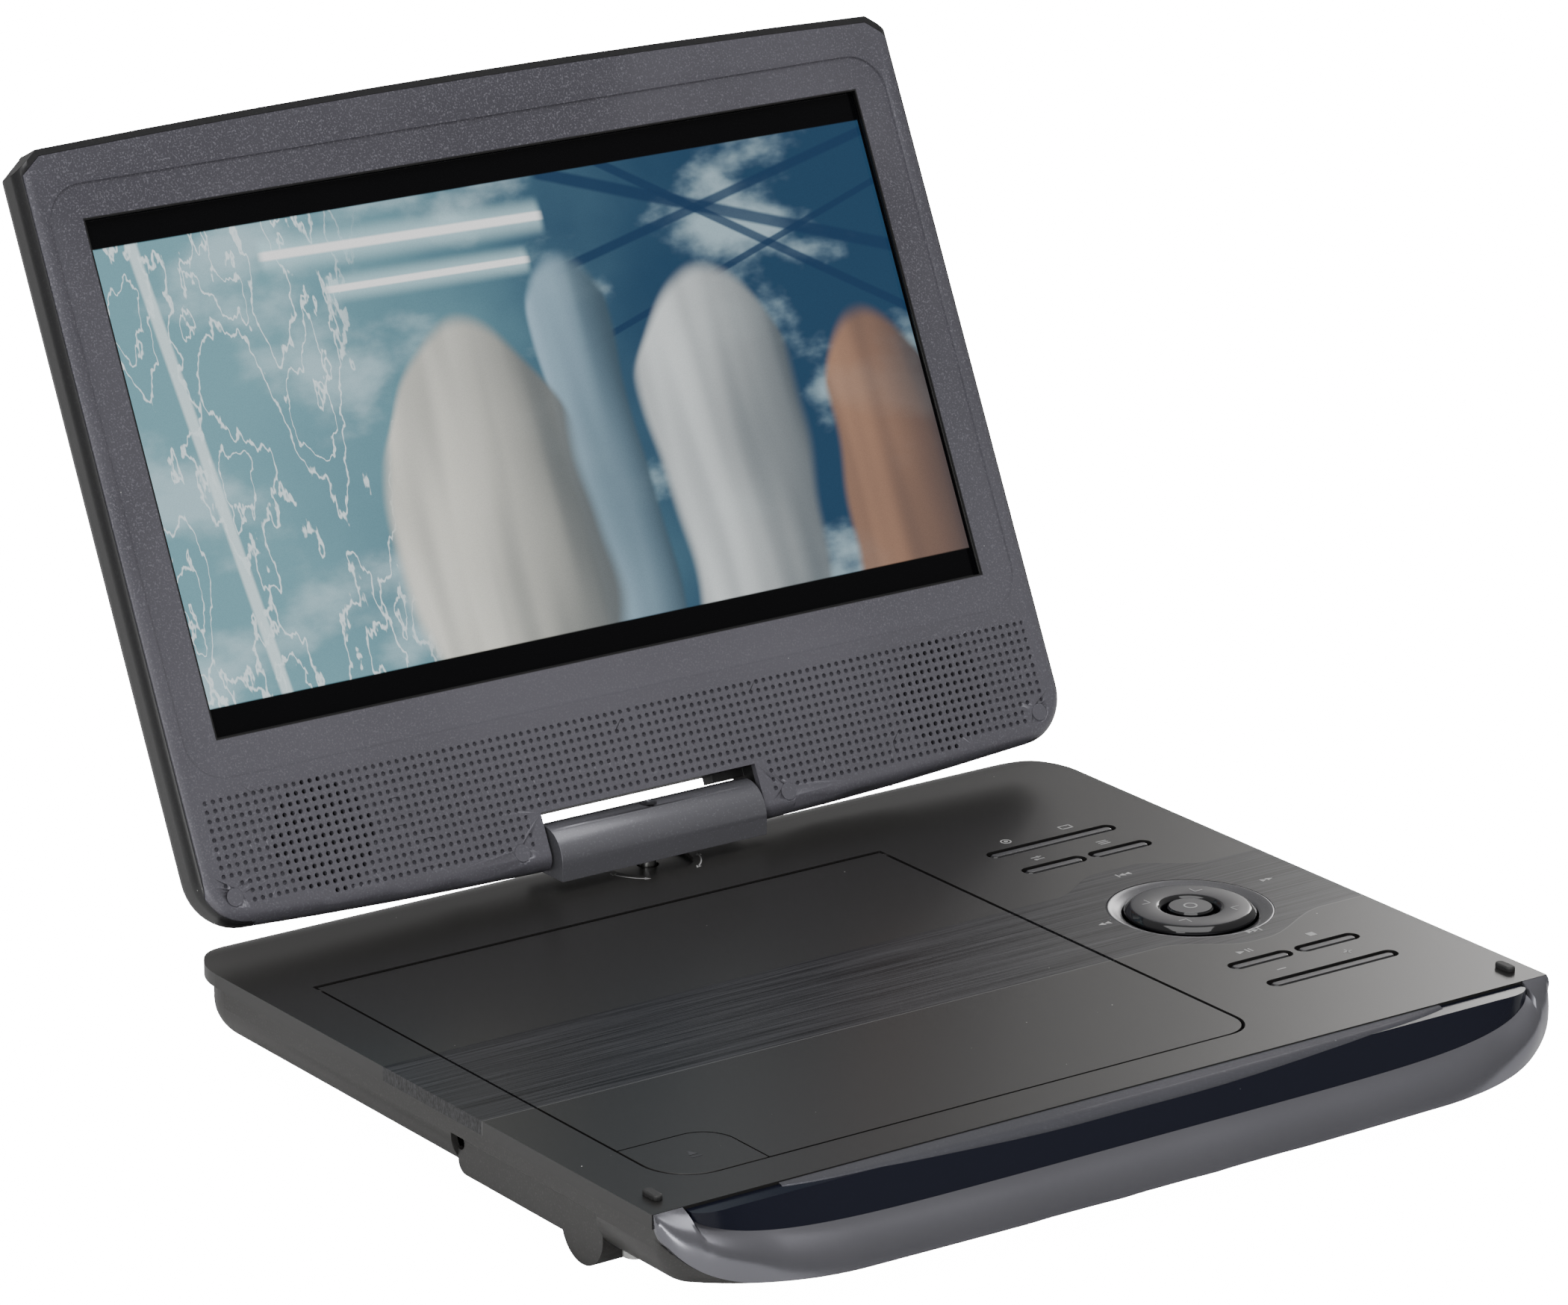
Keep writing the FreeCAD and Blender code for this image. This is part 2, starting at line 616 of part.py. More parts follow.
def make_base_lower_case(*front_pieces):
    """The lower tub with its screw posts, port openings and battery bay."""
    outer = case_solid("case_outside", 0)
    inner = case_solid("case_inside", d.skin)
    nose = nose_cutter()
    doc.recompute()
    tub = outer.Shape.cut(inner.Shape).cut(nose.Shape)
    floor = float(d.floor_level) + 0.5
    for x, y in CASE_SCREWS:
        post = rod(x, y, floor, 3.4, float(d.seam_level) - floor)
        tub = tub.fuse(post.common(outer.Shape))
        tub = tub.cut(rod(x, y, 0, 1.6, 40)).cut(rod(x, y, 0, 3.0, floor + 1.6))
    for x, y in DECK_SCREWS:
        tub = tub.fuse(rod(x, y, floor, 3.0, LEDGE_LEVEL - float(d.deck_skin) - floor))
        tub = tub.cut(rod(x, y, CASE_FLOOR + 3.0, SCREW_SHANK, 20))
    for x, y in MAIN_BOARD_SCREWS:
        tub = tub.fuse(rod(x, y, floor, 2.6, MAIN_BOARD_LEVEL - floor))
        tub = tub.cut(rod(x, y, floor, SCREW_SHANK, 20))
    for x, y in dampers():
        tub = tub.fuse(rod(x, y, floor, 0.85, 4.6))
    wall = 110.0
    for y, wide, low, high in PORTS.values():
        tub = tub.cut(box(wall, y - wide / 2, low, 130, y + wide / 2, high))
        tub = tub.cut(box(wall, y - wide / 2, low - 0.45, SOCKET_FACE + 0.05, y + wide / 2, high))
    for y, bore, half in JACKS.values():
        tub = tub.cut(rod(wall, y, JACK_LEVEL, half - 0.3, 20, (1, 0, 0)))
    tub = tub.cut(box(wall, SWITCH_Y - 5.5, 11.2, 130, SWITCH_Y + 5.5, 14.8))
    tub = tub.cut(pack_bay())
    for piece in front_pieces:
        tub = tub.cut(piece.Shape)
    keep_shape("base_lower_case", largest(tub.removeSplitter()), outer, inner, nose)


def pack_section(inset):
    """Side view of the battery housing: flat belly, round ridge, as a closed face in YZ."""
    ridge, radius, floor = float(d.ridge_y), float(d.ridge_radius) - inset, float(d.floor_level) + inset
    back, top = float(d.pack_back) - inset, 15.0 - inset
    front = ridge - radius
    middle_z = float(d.ridge_radius)
    leave = math.sqrt(radius ** 2 - (middle_z - floor) ** 2)
    points = [V(0, back, top), V(0, back, floor + 3.0), V(0, back - 3.0, floor), V(0, ridge + leave, floor)]
    edges = [Part.LineSegment(points[0], points[1]).toShape(),
             Part.Arc(points[1], V(0, back - 0.88, floor + 0.88), points[2]).toShape(),
             Part.LineSegment(points[2], points[3]).toShape(),
             Part.Arc(points[3], V(0, ridge, middle_z - radius), V(0, front, middle_z)).toShape(),
             Part.LineSegment(V(0, front, middle_z), V(0, front, top)).toShape(),
             Part.LineSegment(V(0, front, top), points[0]).toShape()]
    return Part.Face(Part.Wire(edges))


def pack_solid(inset):
    face = pack_section(inset)
    left, right = float(d.pack_left) + inset, float(d.pack_right) - inset
    face.translate(V(left, 0, 0))
    return face.extrude(V(right - left, 0, 0))


PACK_PLATE_TOP = 6.4
PACK_SKIN = 1.1


def pack_bay():
    """The room the battery housing takes out of the lower case."""
    left, right, back = float(d.pack_left), float(d.pack_right), float(d.pack_back)
    front = float(d.ridge_y - d.ridge_radius)
    wall = float(d.ridge_y + d.ridge_radius)
    gap = 0.15
    cheek = box(-130, front - gap, -1, left + PACK_SKIN + gap, back + gap, PACK_TOP + 0.2)
    plate = box(-130, front - gap, -1, right + gap, back + gap, PACK_PLATE_TOP + 0.05)
    ridge = box(-130, front - gap, -1, right + gap, wall + gap, PACK_TOP + 0.2)
    return cheek.fuse(plate).fuse(ridge)


def make_battery_cover():
    """The housing below the floor that holds the cells and serves as the front foot."""
    left, right, ridge = float(d.pack_left), float(d.pack_right), float(d.ridge_y)
    wall = ridge + float(d.ridge_radius)
    shell = pack_solid(0).cut(box(-200, -200, PACK_TOP, 200, 200, 40))
    shell = shell.cut(box(left + PACK_SKIN, wall, PACK_PLATE_TOP, right + 1, 0, 40))
    cell_room = float(d.cell_radius) + 0.1
    length = right - left - 2 * PACK_SKIN
    shell = shell.cut(rod(left + PACK_SKIN, ridge, d.ridge_radius, cell_room, length, (1, 0, 0)))
    shell = shell.cut(box(left + PACK_SKIN, ridge - cell_room, float(d.ridge_radius), right - PACK_SKIN,
                          ridge + cell_room, 40))
    notch = rod(left - 1, float(d.pack_back) - 1.0, 12.6, 1.6, 3, (1, 0, 0))
    keep_shape("battery_cover", shell.cut(notch).removeSplitter())


def make_battery_cells():
    """Round cells end to end in the ridge, each with its raised end contact."""
    cells = []
    length = 50.0
    for n in range(3):
        x = float(d.pack_left) + 9.0 + n * (length + 4.5)
        cell = rod(x, d.ridge_y, d.ridge_radius, d.cell_radius, length, (1, 0, 0))
        nub = rod(x + length, d.ridge_y, d.ridge_radius, 2.6, 1.4, (1, 0, 0))
        cells.append(cell.fuse(nub))
    keep_shape("battery_cells", Part.makeCompound(cells))


# ---------------------------------------------------------------- disc well and drive
DX, DY = float(d.disc_x), float(d.disc_y)
CATCH_LEFT = -80.0
SCREW_SHANK = 1.0


def make_disc_deck():
    """Tray under the door: raised ledge, round well, window for hub and pickup."""
    floor, skin = float(d.well_floor), float(d.deck_skin)
    radius = float(d.well_radius)
    plate = box(d.door_left - 1.8, d.door_front - 1.8, LEDGE_LEVEL - skin,
                d.door_right + 1.8, d.door_back - 5.0, LEDGE_LEVEL)
    bowl = rod(DX, DY, floor - skin, radius + skin, LEDGE_LEVEL - floor + skin)
    deck = plate.fuse(bowl).cut(rod(DX, DY, floor, radius, 10))
    deck = deck.cut(rod(DX, DY, 0, d.turntable_radius + 1.0, 30))
    reach = float(d.lens_reach + d.sled_travel) + 7.0
    slot = box(DX - reach, DY - 7.0, 0, DX, DY + 7.0, 30)
    deck = deck.cut(slot.fuse(rod(DX - reach, DY, 0, 7.0, 30)))
    button_room = box(d.door_left - 0.3, d.door_front - 0.3, floor,
                      d.open_right + 0.3, d.open_back + 0.3, 30)
    deck = deck.cut(button_room.cut(rod(DX, DY, 0, radius + skin, 40)))
    catch_room = box(CATCH_LEFT - 1.0, d.door_front - 0.3, floor, CATCH_LEFT + 7.0, d.door_front + 3.6, 30)
    deck = deck.cut(catch_room)
    for x, y in DECK_SCREWS:
        deck = deck.cut(rod(x, y, 0, SCREW_SHANK + 0.1, 40)).cut(rod(x, y, DECK_SCREW_SEAT, 2.1, 40))
    keep_shape("disc_deck", deck.removeSplitter())


def make_loader_chassis():
    """Frame plate under the deck that carries motor, rods and lead screw."""
    level, skin = 8.2, 1.2
    plate = box(DX - 70.0, DY - 27.0, level, DX + 17.0, DY + 26.0, level + skin)
    plate = plate.cut(box(DX - 66.0, DY - 11.0, 0, DX - 15.0, DY + 11.0, 30))
    for x in (DX - 67.5, DX + 11.0):
        for side in (-1, 1):
            y = DY + side * float(d.rod_spread)
            block = box(x - 2.0, y - 2.6, level, x + 2.0, y + 2.6, float(d.rod_level) + 2.4)
            plate = plate.fuse(block).cut(rod(x - 5, y, d.rod_level, d.rod_radius, 10, (1, 0, 0)))
    for x, y in dampers():
        plate = plate.cut(rod(x, y, 0, 2.0, 30))
    screw_y = DY - float(d.screw_offset)
    plate = plate.cut(box(DX - 14.0, screw_y - 3.1, 0, DX - 1.4, screw_y + 3.1, 30))
    for x in (DX - 67.5, DX - 17.0):
        block = box(x - 1.6, screw_y - 2.4, level, x + 1.6, screw_y + 2.4, 13.6)
        bore = rod(x - 5, screw_y, 11.2, float(d.screw_radius + d.running_gap), 10, (1, 0, 0))
        plate = plate.fuse(block).cut(bore)
    keep_shape("loader_chassis", plate.removeSplitter())


def dampers():
    """Where the drive stands on its three grommets."""
    return (DX - 58.0, DY + 21.8), (DX + 4.0, DY + 17.5), (DX + 13.5, DY - 23.0)


def make_loader_dampers():
    """Soft grommets between chassis and floor posts."""
    rings = []
    for x, y in dampers():
        grommet = rod(x, y, 7.3, 3.4, 0.9).fuse(rod(x, y, 7.3, 1.95, 3.0)).fuse(rod(x, y, 9.4, 3.4, 0.7))
        rings.append(grommet.cut(rod(x, y, 0, 0.9, 30)))
    keep_shape("loader_dampers", Part.makeCompound(rings))


def make_guide_rods():
    rods = [rod(DX - 69.5, DY + side * float(d.rod_spread), d.rod_level, d.rod_radius, 82.5, (1, 0, 0))
            for side in (-1, 1)]
    keep_shape("guide_rods", Part.makeCompound(rods))


def make_spindle_motor():
    """Flat motor that turns the disc: can, flange and bearing."""
    can = rod(DX, DY, 9.4, d.motor_radius, 3.0)
    flange = box(DX - 13.0, DY - 5.0, 9.4, DX + 13.0, DY + 5.0, 10.2)
    bearing = rod(DX, DY, 9.4, 3.0, 4.0)
    bore = rod(DX, DY, 10.0, float(0.8 + d.running_gap), 10)
    keep_shape("spindle_motor", can.fuse(flange).fuse(bearing).cut(bore))


def make_turntable():
    """Hub the disc clips on: shaft, rotor, seat and three-ball cone."""
    seat = float(d.disc_seat)
    shaft = rod(DX, DY, 10.4, 0.8, 5.0)
    rotor = rod(DX, DY, 13.8, d.motor_radius - 1.0, 1.4)
    table = rod(DX, DY, 15.0, d.turntable_radius, seat - 15.0)
    rim = rod(DX, DY, seat - 0.4, d.turntable_radius + 1, 1)
    rim = rim.cut(rod(DX, DY, 0, d.turntable_radius - 2.4, 30))
    hub = rod(DX, DY, seat, d.hub_radius, 1.5).fuse(
        Part.makeCone(float(d.hub_radius), 5.4, 1.1, V(DX, DY, seat + 1.5), V(0, 0, 1)))
    relief = rod(DX, DY, seat - 0.3, d.hub_radius + 0.3, 0.3).cut(rod(DX, DY, 0, d.hub_radius, 30))
    whole = shaft.fuse(rotor).fuse(table).fuse(hub).cut(rim).cut(relief)
    for n in range(3):
        angle = math.radians(120 * n + 30)
        ball = Part.makeSphere(0.8, V(DX + (float(d.hub_radius) - 0.6) * math.cos(angle),
                                      DY + (float(d.hub_radius) - 0.6) * math.sin(angle), seat + 1.3))
        whole = whole.fuse(ball)
    keep_shape("turntable", whole)


def lens_x():
    return DX - float(d.lens_reach)


def make_pickup_sled():
    """Carriage on the two rods, with a nut arm round the lead screw."""
    x, half = lens_x(), 7.4
    spread, gap = float(d.rod_spread), float(d.running_gap)
    block = box(x - half, DY - spread - 2.4, 9.9, x + half, DY + spread + 2.4, 13.2)
    block = block.cut(box(x - half - 1, DY - 10.5, 12.0, x - 4.5, DY + 10.5, 20))
    for side in (-1, 1):
        y = DY + side * spread
        block = block.cut(rod(x - 20, y, d.rod_level, float(d.rod_radius) + gap, 40, (1, 0, 0)))
    screw_y = DY - float(d.screw_offset)
    arm = box(x - 3.0, screw_y - 2.6, 9.7, x + 3.0, DY - spread - 1.8, 13.0)
    sled = block.fuse(arm).cut(rod(x - 20, screw_y, 11.2, float(d.screw_radius) + gap, 40, (1, 0, 0)))
    keep_shape("pickup_sled", sled.removeSplitter())


def make_pickup_lens():
    """Lens holder and lens standing on the carriage."""
    x = lens_x()
    holder = box(x - 4.2, DY - 5.2, 13.2, x + 4.2, DY + 5.2, 14.8)
    barrel = rod(x, DY, 14.8, 3.0, 1.0).cut(rod(x, DY, 15.3, 2.3, 2))
    dome = Part.makeSphere(4.0, V(x, DY, 12.0)).common(rod(x, DY, 15.3, 2.2, 3))
    keep_shape("pickup_lens", holder.fuse(barrel).fuse(dome))


def make_lead_screw():
    """Feed screw with a worm-like thread of rings and a drive end."""
    screw_y = DY - float(d.screw_offset)
    core = rod(DX - 70.0, screw_y, 11.2, 1.0, 56.0, (1, 0, 0))
    for n in range(16):
        core = core.fuse(rod(DX - 65.0 + 2.8 * n, screw_y, 11.2, d.screw_radius, 1.2, (1, 0, 0)))
    for x in (DX - 69.4, DX - 19.0):
        core = core.fuse(rod(x, screw_y, 11.2, d.screw_radius, 3.8, (1, 0, 0)))
    keep_shape("lead_screw", core)


def make_feed_motor():
    """Small can motor at the end of the lead screw, in its cradle."""
    screw_y = DY - float(d.screw_offset)
    can = rod(DX - 13.6, screw_y, 11.2, 3.0, 12.0, (1, 0, 0))
    cradle = box(DX - 12.0, screw_y - 4.4, 9.4, DX - 3.0, screw_y + 4.4, 11.0)
    keep_shape("feed_motor", can.fuse(cradle).cut(rod(DX - 20, screw_y, 11.2, 1.1, 7.2, (1, 0, 0))))


# ---------------------------------------------------------------- disc door and its button
def button_outline(sketch, grow):
    """Plan of the open button; grown, it is the notch it leaves in the door."""
    left, right = float(d.door_left) - grow, float(d.open_right) + grow
    low, high = float(d.door_front) - grow, float(d.open_back) + grow
    draw_round_rect(sketch, left, low, right, high, (float(d.open_round) - 0.4, 0.3, 8.0 + grow, 0.3))


def make_disc_door():
    """Flat lid over the disc, round-edged at the hinge, with a notch for its button."""
    body = new_body("disc_door")
    top, skin = float(d.top_level) - 0.1, float(d.door_skin)
    sketch = new_sketch(body, "XY", d.top_level - 0.1 - d.door_skin)
    draw_round_rect(sketch, d.door_left, d.door_front, d.door_right, d.door_back - 1.1,
                    (float(d.open_round) - 0.6, float(d.door_round) - 0.6, 0.3, 0.3))
    pad(body, sketch, d.door_skin)
    hinge = new_sketch(body, "YZ", d.door_left)
    draw_circle(hinge, d.door_back - 1.1, d.top_level - 0.1 - d.door_skin / 2, d.door_skin / 2)
    pad(body, hinge, d.door_right - d.door_left)
    notch = new_sketch(body, "XY", d.floor_level)
    button_outline(notch, float(d.button_gap))
    pocket(body, notch, 40)
    under = new_sketch(body, "XY", d.top_level - 0.1 - d.door_skin)
    draw_circle(under, d.disc_x, d.disc_y, d.well_radius - 2)
    pocket(body, under, 0.5)
    for x, length in ((d.door_left, 4.0), (d.door_right - 4.0, 4.0)):
        bore = new_sketch(body, "YZ", x)
        draw_circle(bore, d.door_back - 1.1, d.top_level - 0.1 - d.door_skin / 2, 0.7)
        pocket(body, bore, length)
    catch = new_sketch(body, "XY", d.top_level - 0.1 - d.door_skin)
    draw_rect(catch, CATCH_LEFT, d.door_front + 0.8, CATCH_LEFT + 6.0, d.door_front + 2.4)
    tongue = pad(body, catch, 3.4)
    tongue.Reversed = True
    doc.recompute()


def make_door_pins():
    z = float(d.top_level) - 0.1 - float(d.door_skin) / 2
    y = float(d.door_back) - 1.1
    pins = [rod(float(d.door_left) - 3.4, y, z, 0.7, 7.2, (1, 0, 0)),
            rod(float(d.door_right) - 3.8, y, z, 0.7, 7.2, (1, 0, 0))]
    keep_shape("door_hinge_pins", Part.makeCompound(pins))


def make_open_button():
    """Corner push button with a hollow stem and a hook for the door's catch."""
    body = new_body("open_button")
    sketch = new_sketch(body, "XY", d.top_level - 0.1 - d.door_skin + 0.5)
    button_outline(sketch, 0)
    pad(body, sketch, d.door_skin - 0.5)
    stem = new_sketch(body, "XY", d.well_floor + 2.6)
    draw_rect(stem, d.open_right - 18.0, d.door_front + 3.0, d.open_right - 6.0, d.door_front + 9.0)
    pad(body, stem, 3.0)
    doc.recompute()


def make_button_spring():
    """Steel blade that lifts the open button again."""
    x0 = float(d.open_right) - 16.0
    y0 = float(d.door_front) + 4.0
    blade = box(x0, y0, 15.6, x0 + 8.0, y0 + 4.0, 15.9)
    riser = box(x0 + 3.0, y0, 15.9, x0 + 5.0, y0 + 4.0, 17.6)
    keep_shape("button_spring", blade.fuse(riser))


# ---------------------------------------------------------------- keys
ROCKER_LEVEL = 20.6
GIMBAL_LEVEL = 19.9


def make_key(name, x, y, length, rocker=False):
    """A pill-shaped cap with a flange under the top case and a stem over its switch."""
    body = new_body(name)
    ceiling = d.top_level - d.top_skin
    flange_level = ceiling - (1.5 if rocker else 0.8)
    flange = new_sketch(body, "XY", flange_level)
    if rocker:
        draw_pill(flange, x, y, 14.0, float(d.key_deep) + 1.4)
    else:
        draw_pill(flange, x, y, length + 1.2, float(d.key_deep) + 1.2)
    pad(body, flange, 0.7)
    cap = new_sketch(body, "XY", flange_level + 0.4)
    cap_length = length - 2 * float(d.key_gap) - (0.2 if rocker else 0)
    draw_pill(cap, x, y, cap_length, float(d.key_deep - d.key_gap * 2))
    pad(body, cap, d.key_top - flange_level - 0.4)
    fillet(body, flat_at(d.key_top), 0.45)
    stem = new_sketch(body, "XY", d.board_level + d.board_skin + d.switch_tall + 0.7)
    for reach in ((-length / 2 + 5.0, length / 2 - 5.0) if rocker else (0.0,)):
        draw_circle(stem, x + reach, y, 1.2)
    pad(body, stem, 1.4 if not rocker else 2.6)
    doc.recompute()
    if rocker:
        pivot = rod(x, y - 4.2, ROCKER_LEVEL, 0.6, 8.4, (0, 1, 0))
        keep_shape(name, body.Shape.fuse(pivot).removeSplitter(), body)


def make_dial_bezel():
    """Silver dish round the dial, sloping down to the ring."""
    body = new_body("dial_bezel")
    outer, inner, top = float(d.dish_radius), float(d.ring_radius) + 0.5, float(d.top_level)
    sketch = new_sketch(body, "XZ", 0)
    draw_path(sketch, (inner, top - 2.6), (outer - 1.8, top - 2.6),
              (outer - 1.8, top - 1.2), (outer, top - 1.2),
              (outer, top - 0.05), (outer - 0.5, top), (inner, top - 1.3))
    revolve(body, sketch)
    doc.recompute()
    body.Placement = FreeCAD.Placement(V(float(d.dial_x), float(d.dial_y), 0), FreeCAD.Rotation())


def make_nav_ring():
    """Four-way ring of the dial, glossy on its side and satin on top."""
    body = new_body("nav_ring")
    radius, groove, top = float(d.ring_radius), float(d.ok_groove), float(d.top_level) + 0.8
    sketch = new_sketch(body, "XZ", 0)
    draw_path(sketch, (groove, top - 3.2), (radius - 0.3, top - 3.2),
              (radius, top - 1.4), (radius - 0.9, top - 0.25),
              (radius - 2.0, top), (groove + 0.5, top - 0.1), (groove, top - 0.4))
    revolve(body, sketch)
    doc.recompute()
    x, y = float(d.dial_x), float(d.dial_y)
    body.Placement = FreeCAD.Placement(V(x, y, 0), FreeCAD.Rotation())
    ring = body.Shape
    for side in (-1, 1):
        leg = box(x - 1.2, y + side * 10.2 - 0.55, GIMBAL_LEVEL - 0.55,
                  x + 1.2, y + side * 10.2 + 0.55, top - 3.1)
        stub = rod(x, y + side * 8.0, GIMBAL_LEVEL, 0.5, 2.0, (0, side, 0))
        ring = ring.fuse(leg).fuse(stub)
    keep_shape("nav_ring", ring.removeSplitter(), body)


def make_nav_gimbal():
    """Thin ring the dial rocks on: side stubs sit in the cradles, the dial's stubs in its holes."""
    x, y = float(d.dial_x), float(d.dial_y)
    ring = rod(x, y, GIMBAL_LEVEL - 0.7, 9.4, 1.4).cut(rod(x, y, 0, 7.4, 40))
    stubs = rod(x - 11.4, y, GIMBAL_LEVEL, 0.6, 22.8, (1, 0, 0)).cut(rod(x, y, 0, 7.4, 40))
    holes = rod(x, y - 9.6, GIMBAL_LEVEL, 0.55, 19.2, (0, 1, 0))
    keep_shape("nav_gimbal", ring.fuse(stubs).cut(holes))


def make_ok_button():
    body = new_body("ok_button")
    top = float(d.top_level) + 0.7
    sketch = new_sketch(body, "XZ", 0)
    draw_path(sketch, (0, top - 4.2), (1.4, top - 4.2), (1.4, top - 2.6), (float(d.ok_radius), top - 2.6),
              (float(d.ok_radius), top - 0.5), (float(d.ok_radius) - 0.4, top - 0.05), (0, top))
    revolve(body, sketch)
    doc.recompute()
    body.Placement = FreeCAD.Placement(V(float(d.dial_x), float(d.dial_y), 0), FreeCAD.Rotation())


def switch_points():
    """Where a finger's press lands: one switch per key, two per rocker, four round the dial."""
    points = [(x, y) for name, x, y, length in KEYS if name != "volume_key"]
    name, x, y, length = KEYS[-1]
    points += [(x - length / 2 + 5.0, y), (x + length / 2 - 5.0, y)]
    dial = (float(d.dial_x), float(d.dial_y))
    points.append(dial)
    for n in range(4):
        angle = math.radians(90 * n)
        points.append((dial[0] + 13.0 * math.cos(angle), dial[1] + 13.0 * math.sin(angle)))
    return points


def make_key_board():
    """Narrow circuit board under the keys with its switches."""
    level, skin = float(d.board_level), float(d.board_skin)
    board = box(66.0, -66.0, level, 112.0, 60.0, level + skin)
    for x, y in switch_points():
        board = board.fuse(box(x - 2.1, y - 2.1, level + skin, x + 2.1, y + 2.1, level + skin + 1.2))
        board = board.fuse(rod(x, y, level + skin, 1.1, float(d.switch_tall)))
    for side in (-1, 1):
        x = float(d.dial_x) + side * 10.8
        cradle = box(x - 0.8, float(d.dial_y) - 1.4, level + skin, x + 0.8, float(d.dial_y) + 1.4, 20.2)
        board = board.fuse(cradle)
        board = board.cut(rod(x - 1.5, d.dial_y, GIMBAL_LEVEL, 0.65, 3, (1, 0, 0)))
        cradle = box(x - 1.5, float(d.dial_y) - 0.65, GIMBAL_LEVEL, x + 1.5, float(d.dial_y) + 0.65, 21)
        board = board.cut(cradle)
    name, rocker_x, rocker_y, length = KEYS[-1]
    for side in (-1, 1):
        y = rocker_y + side * 3.75
        board = board.fuse(box(rocker_x - 1.2, y - 0.45, level + skin, rocker_x + 1.2, y + 0.45, 20.9))
    board = board.cut(rod(rocker_x, rocker_y - 5, ROCKER_LEVEL, 0.65, 10, (0, 1, 0)))
    board = board.cut(box(rocker_x - 0.65, rocker_y - 5, ROCKER_LEVEL, rocker_x + 0.65, rocker_y + 5, 22))
    for x, y in KEY_BOARD_SCREWS:
        board = board.cut(rod(x, y, 0, SCREW_SHANK + 0.1, 30))
    keep_shape("key_board", board.removeSplitter())


def make_main_board():
    """Main circuit board with its chips, coil and capacitors."""
    low, top = MAIN_BOARD_LEVEL, MAIN_BOARD_TOP
    board = box(63.5, -76.0, low, 107.0, 66.0, top).fuse(box(106.0, -60.0, low, 118.0, 64.0, top))
    chips = ((70.0, -20.0, 16.0, 16.0, 1.6), (70.0, 10.0, 12.0, 10.0, 1.4),
             (68.0, 34.0, 8.0, 8.0, 3.4), (86.0, 42.0, 7.0, 10.0, 1.8))
    for x, y, wide, deep, tall in chips:
        board = board.fuse(box(x, y, top, x + wide, y + deep, top + tall))
    for n in range(4):
        board = board.fuse(rod(70.0 + 7.5 * n, -56.0, top, 2.6, 5.0))
    for x, y in MAIN_BOARD_SCREWS:
        board = board.cut(rod(x, y, 0, SCREW_SHANK + 0.1, 30))
    keep_shape("main_board", board.removeSplitter())


def make_ports():
    """Flat sockets of the right side, each with its own mouth."""
    right = SOCKET_FACE
    for name, (y, wide, low, high) in PORTS.items():
        half = wide / 2 - 0.15
        shell = box(right - 14.0, y - half, MAIN_BOARD_TOP, right, y + half, high - 0.15)
        mouth = box(right - 12.5, y - wide / 2 + 0.6, low + 0.2, right + 1, y + wide / 2 - 0.6, high - 0.7)
        shell = shell.cut(mouth)
        if name == "usb_port":
            tongue = box(right - 13.0, y - 5.2, low + 2.6, right - 2.0, y + 5.2, low + 4.2)
            shell = shell.fuse(tongue)
        keep_shape(name, shell)


def make_jacks():
    """Round sockets of the right side, on square housings."""
    right = SOCKET_FACE
    for name, (y, bore, half) in JACKS.items():
        top = min(JACK_LEVEL + half - 0.6, 16.2)
        block = box(right - 14.0, y - half, MAIN_BOARD_TOP, right - 2.0, y + half, top)
        collar = rod(right - 2.0, y, JACK_LEVEL, half - 0.4, 2.6, (1, 0, 0))
        jack = block.fuse(collar).cut(rod(right - 13.0, y, JACK_LEVEL, bore, 20, (1, 0, 0)))
        if name == "dc_jack":
            jack = jack.fuse(rod(right - 14.0, y, JACK_LEVEL, 0.65, 12.0, (1, 0, 0)))
        keep_shape(name, jack)


def make_power_switch():
    """Slide switch: the frame that stands on the board and the ribbed knob in it."""
    right, y = SOCKET_FACE, SWITCH_Y
    frame = box(right - 6.0, y - 6.5, MAIN_BOARD_TOP, right - 2.2, y + 5.9, 16.0)
    frame = frame.cut(box(right - 4.6, y - 5.0, 11.6, right, y + 5.0, 14.4))
    keep_shape("switch_frame", frame)
    knob = box(right - 4.5, y - 4.9, 11.7, right - 2.4, y + 1.9, 14.3)
    knob = knob.fuse(box(right - 2.4, y - 4.2, 11.9, right + 2.2, y + 1.2, 14.1))
    for n in range(3):
        knob = knob.cut(box(right + 1.8, y - 3.2 + 1.2 * n, 11, right + 3, y - 2.6 + 1.2 * n, 15))
    keep_shape("power_switch", knob)


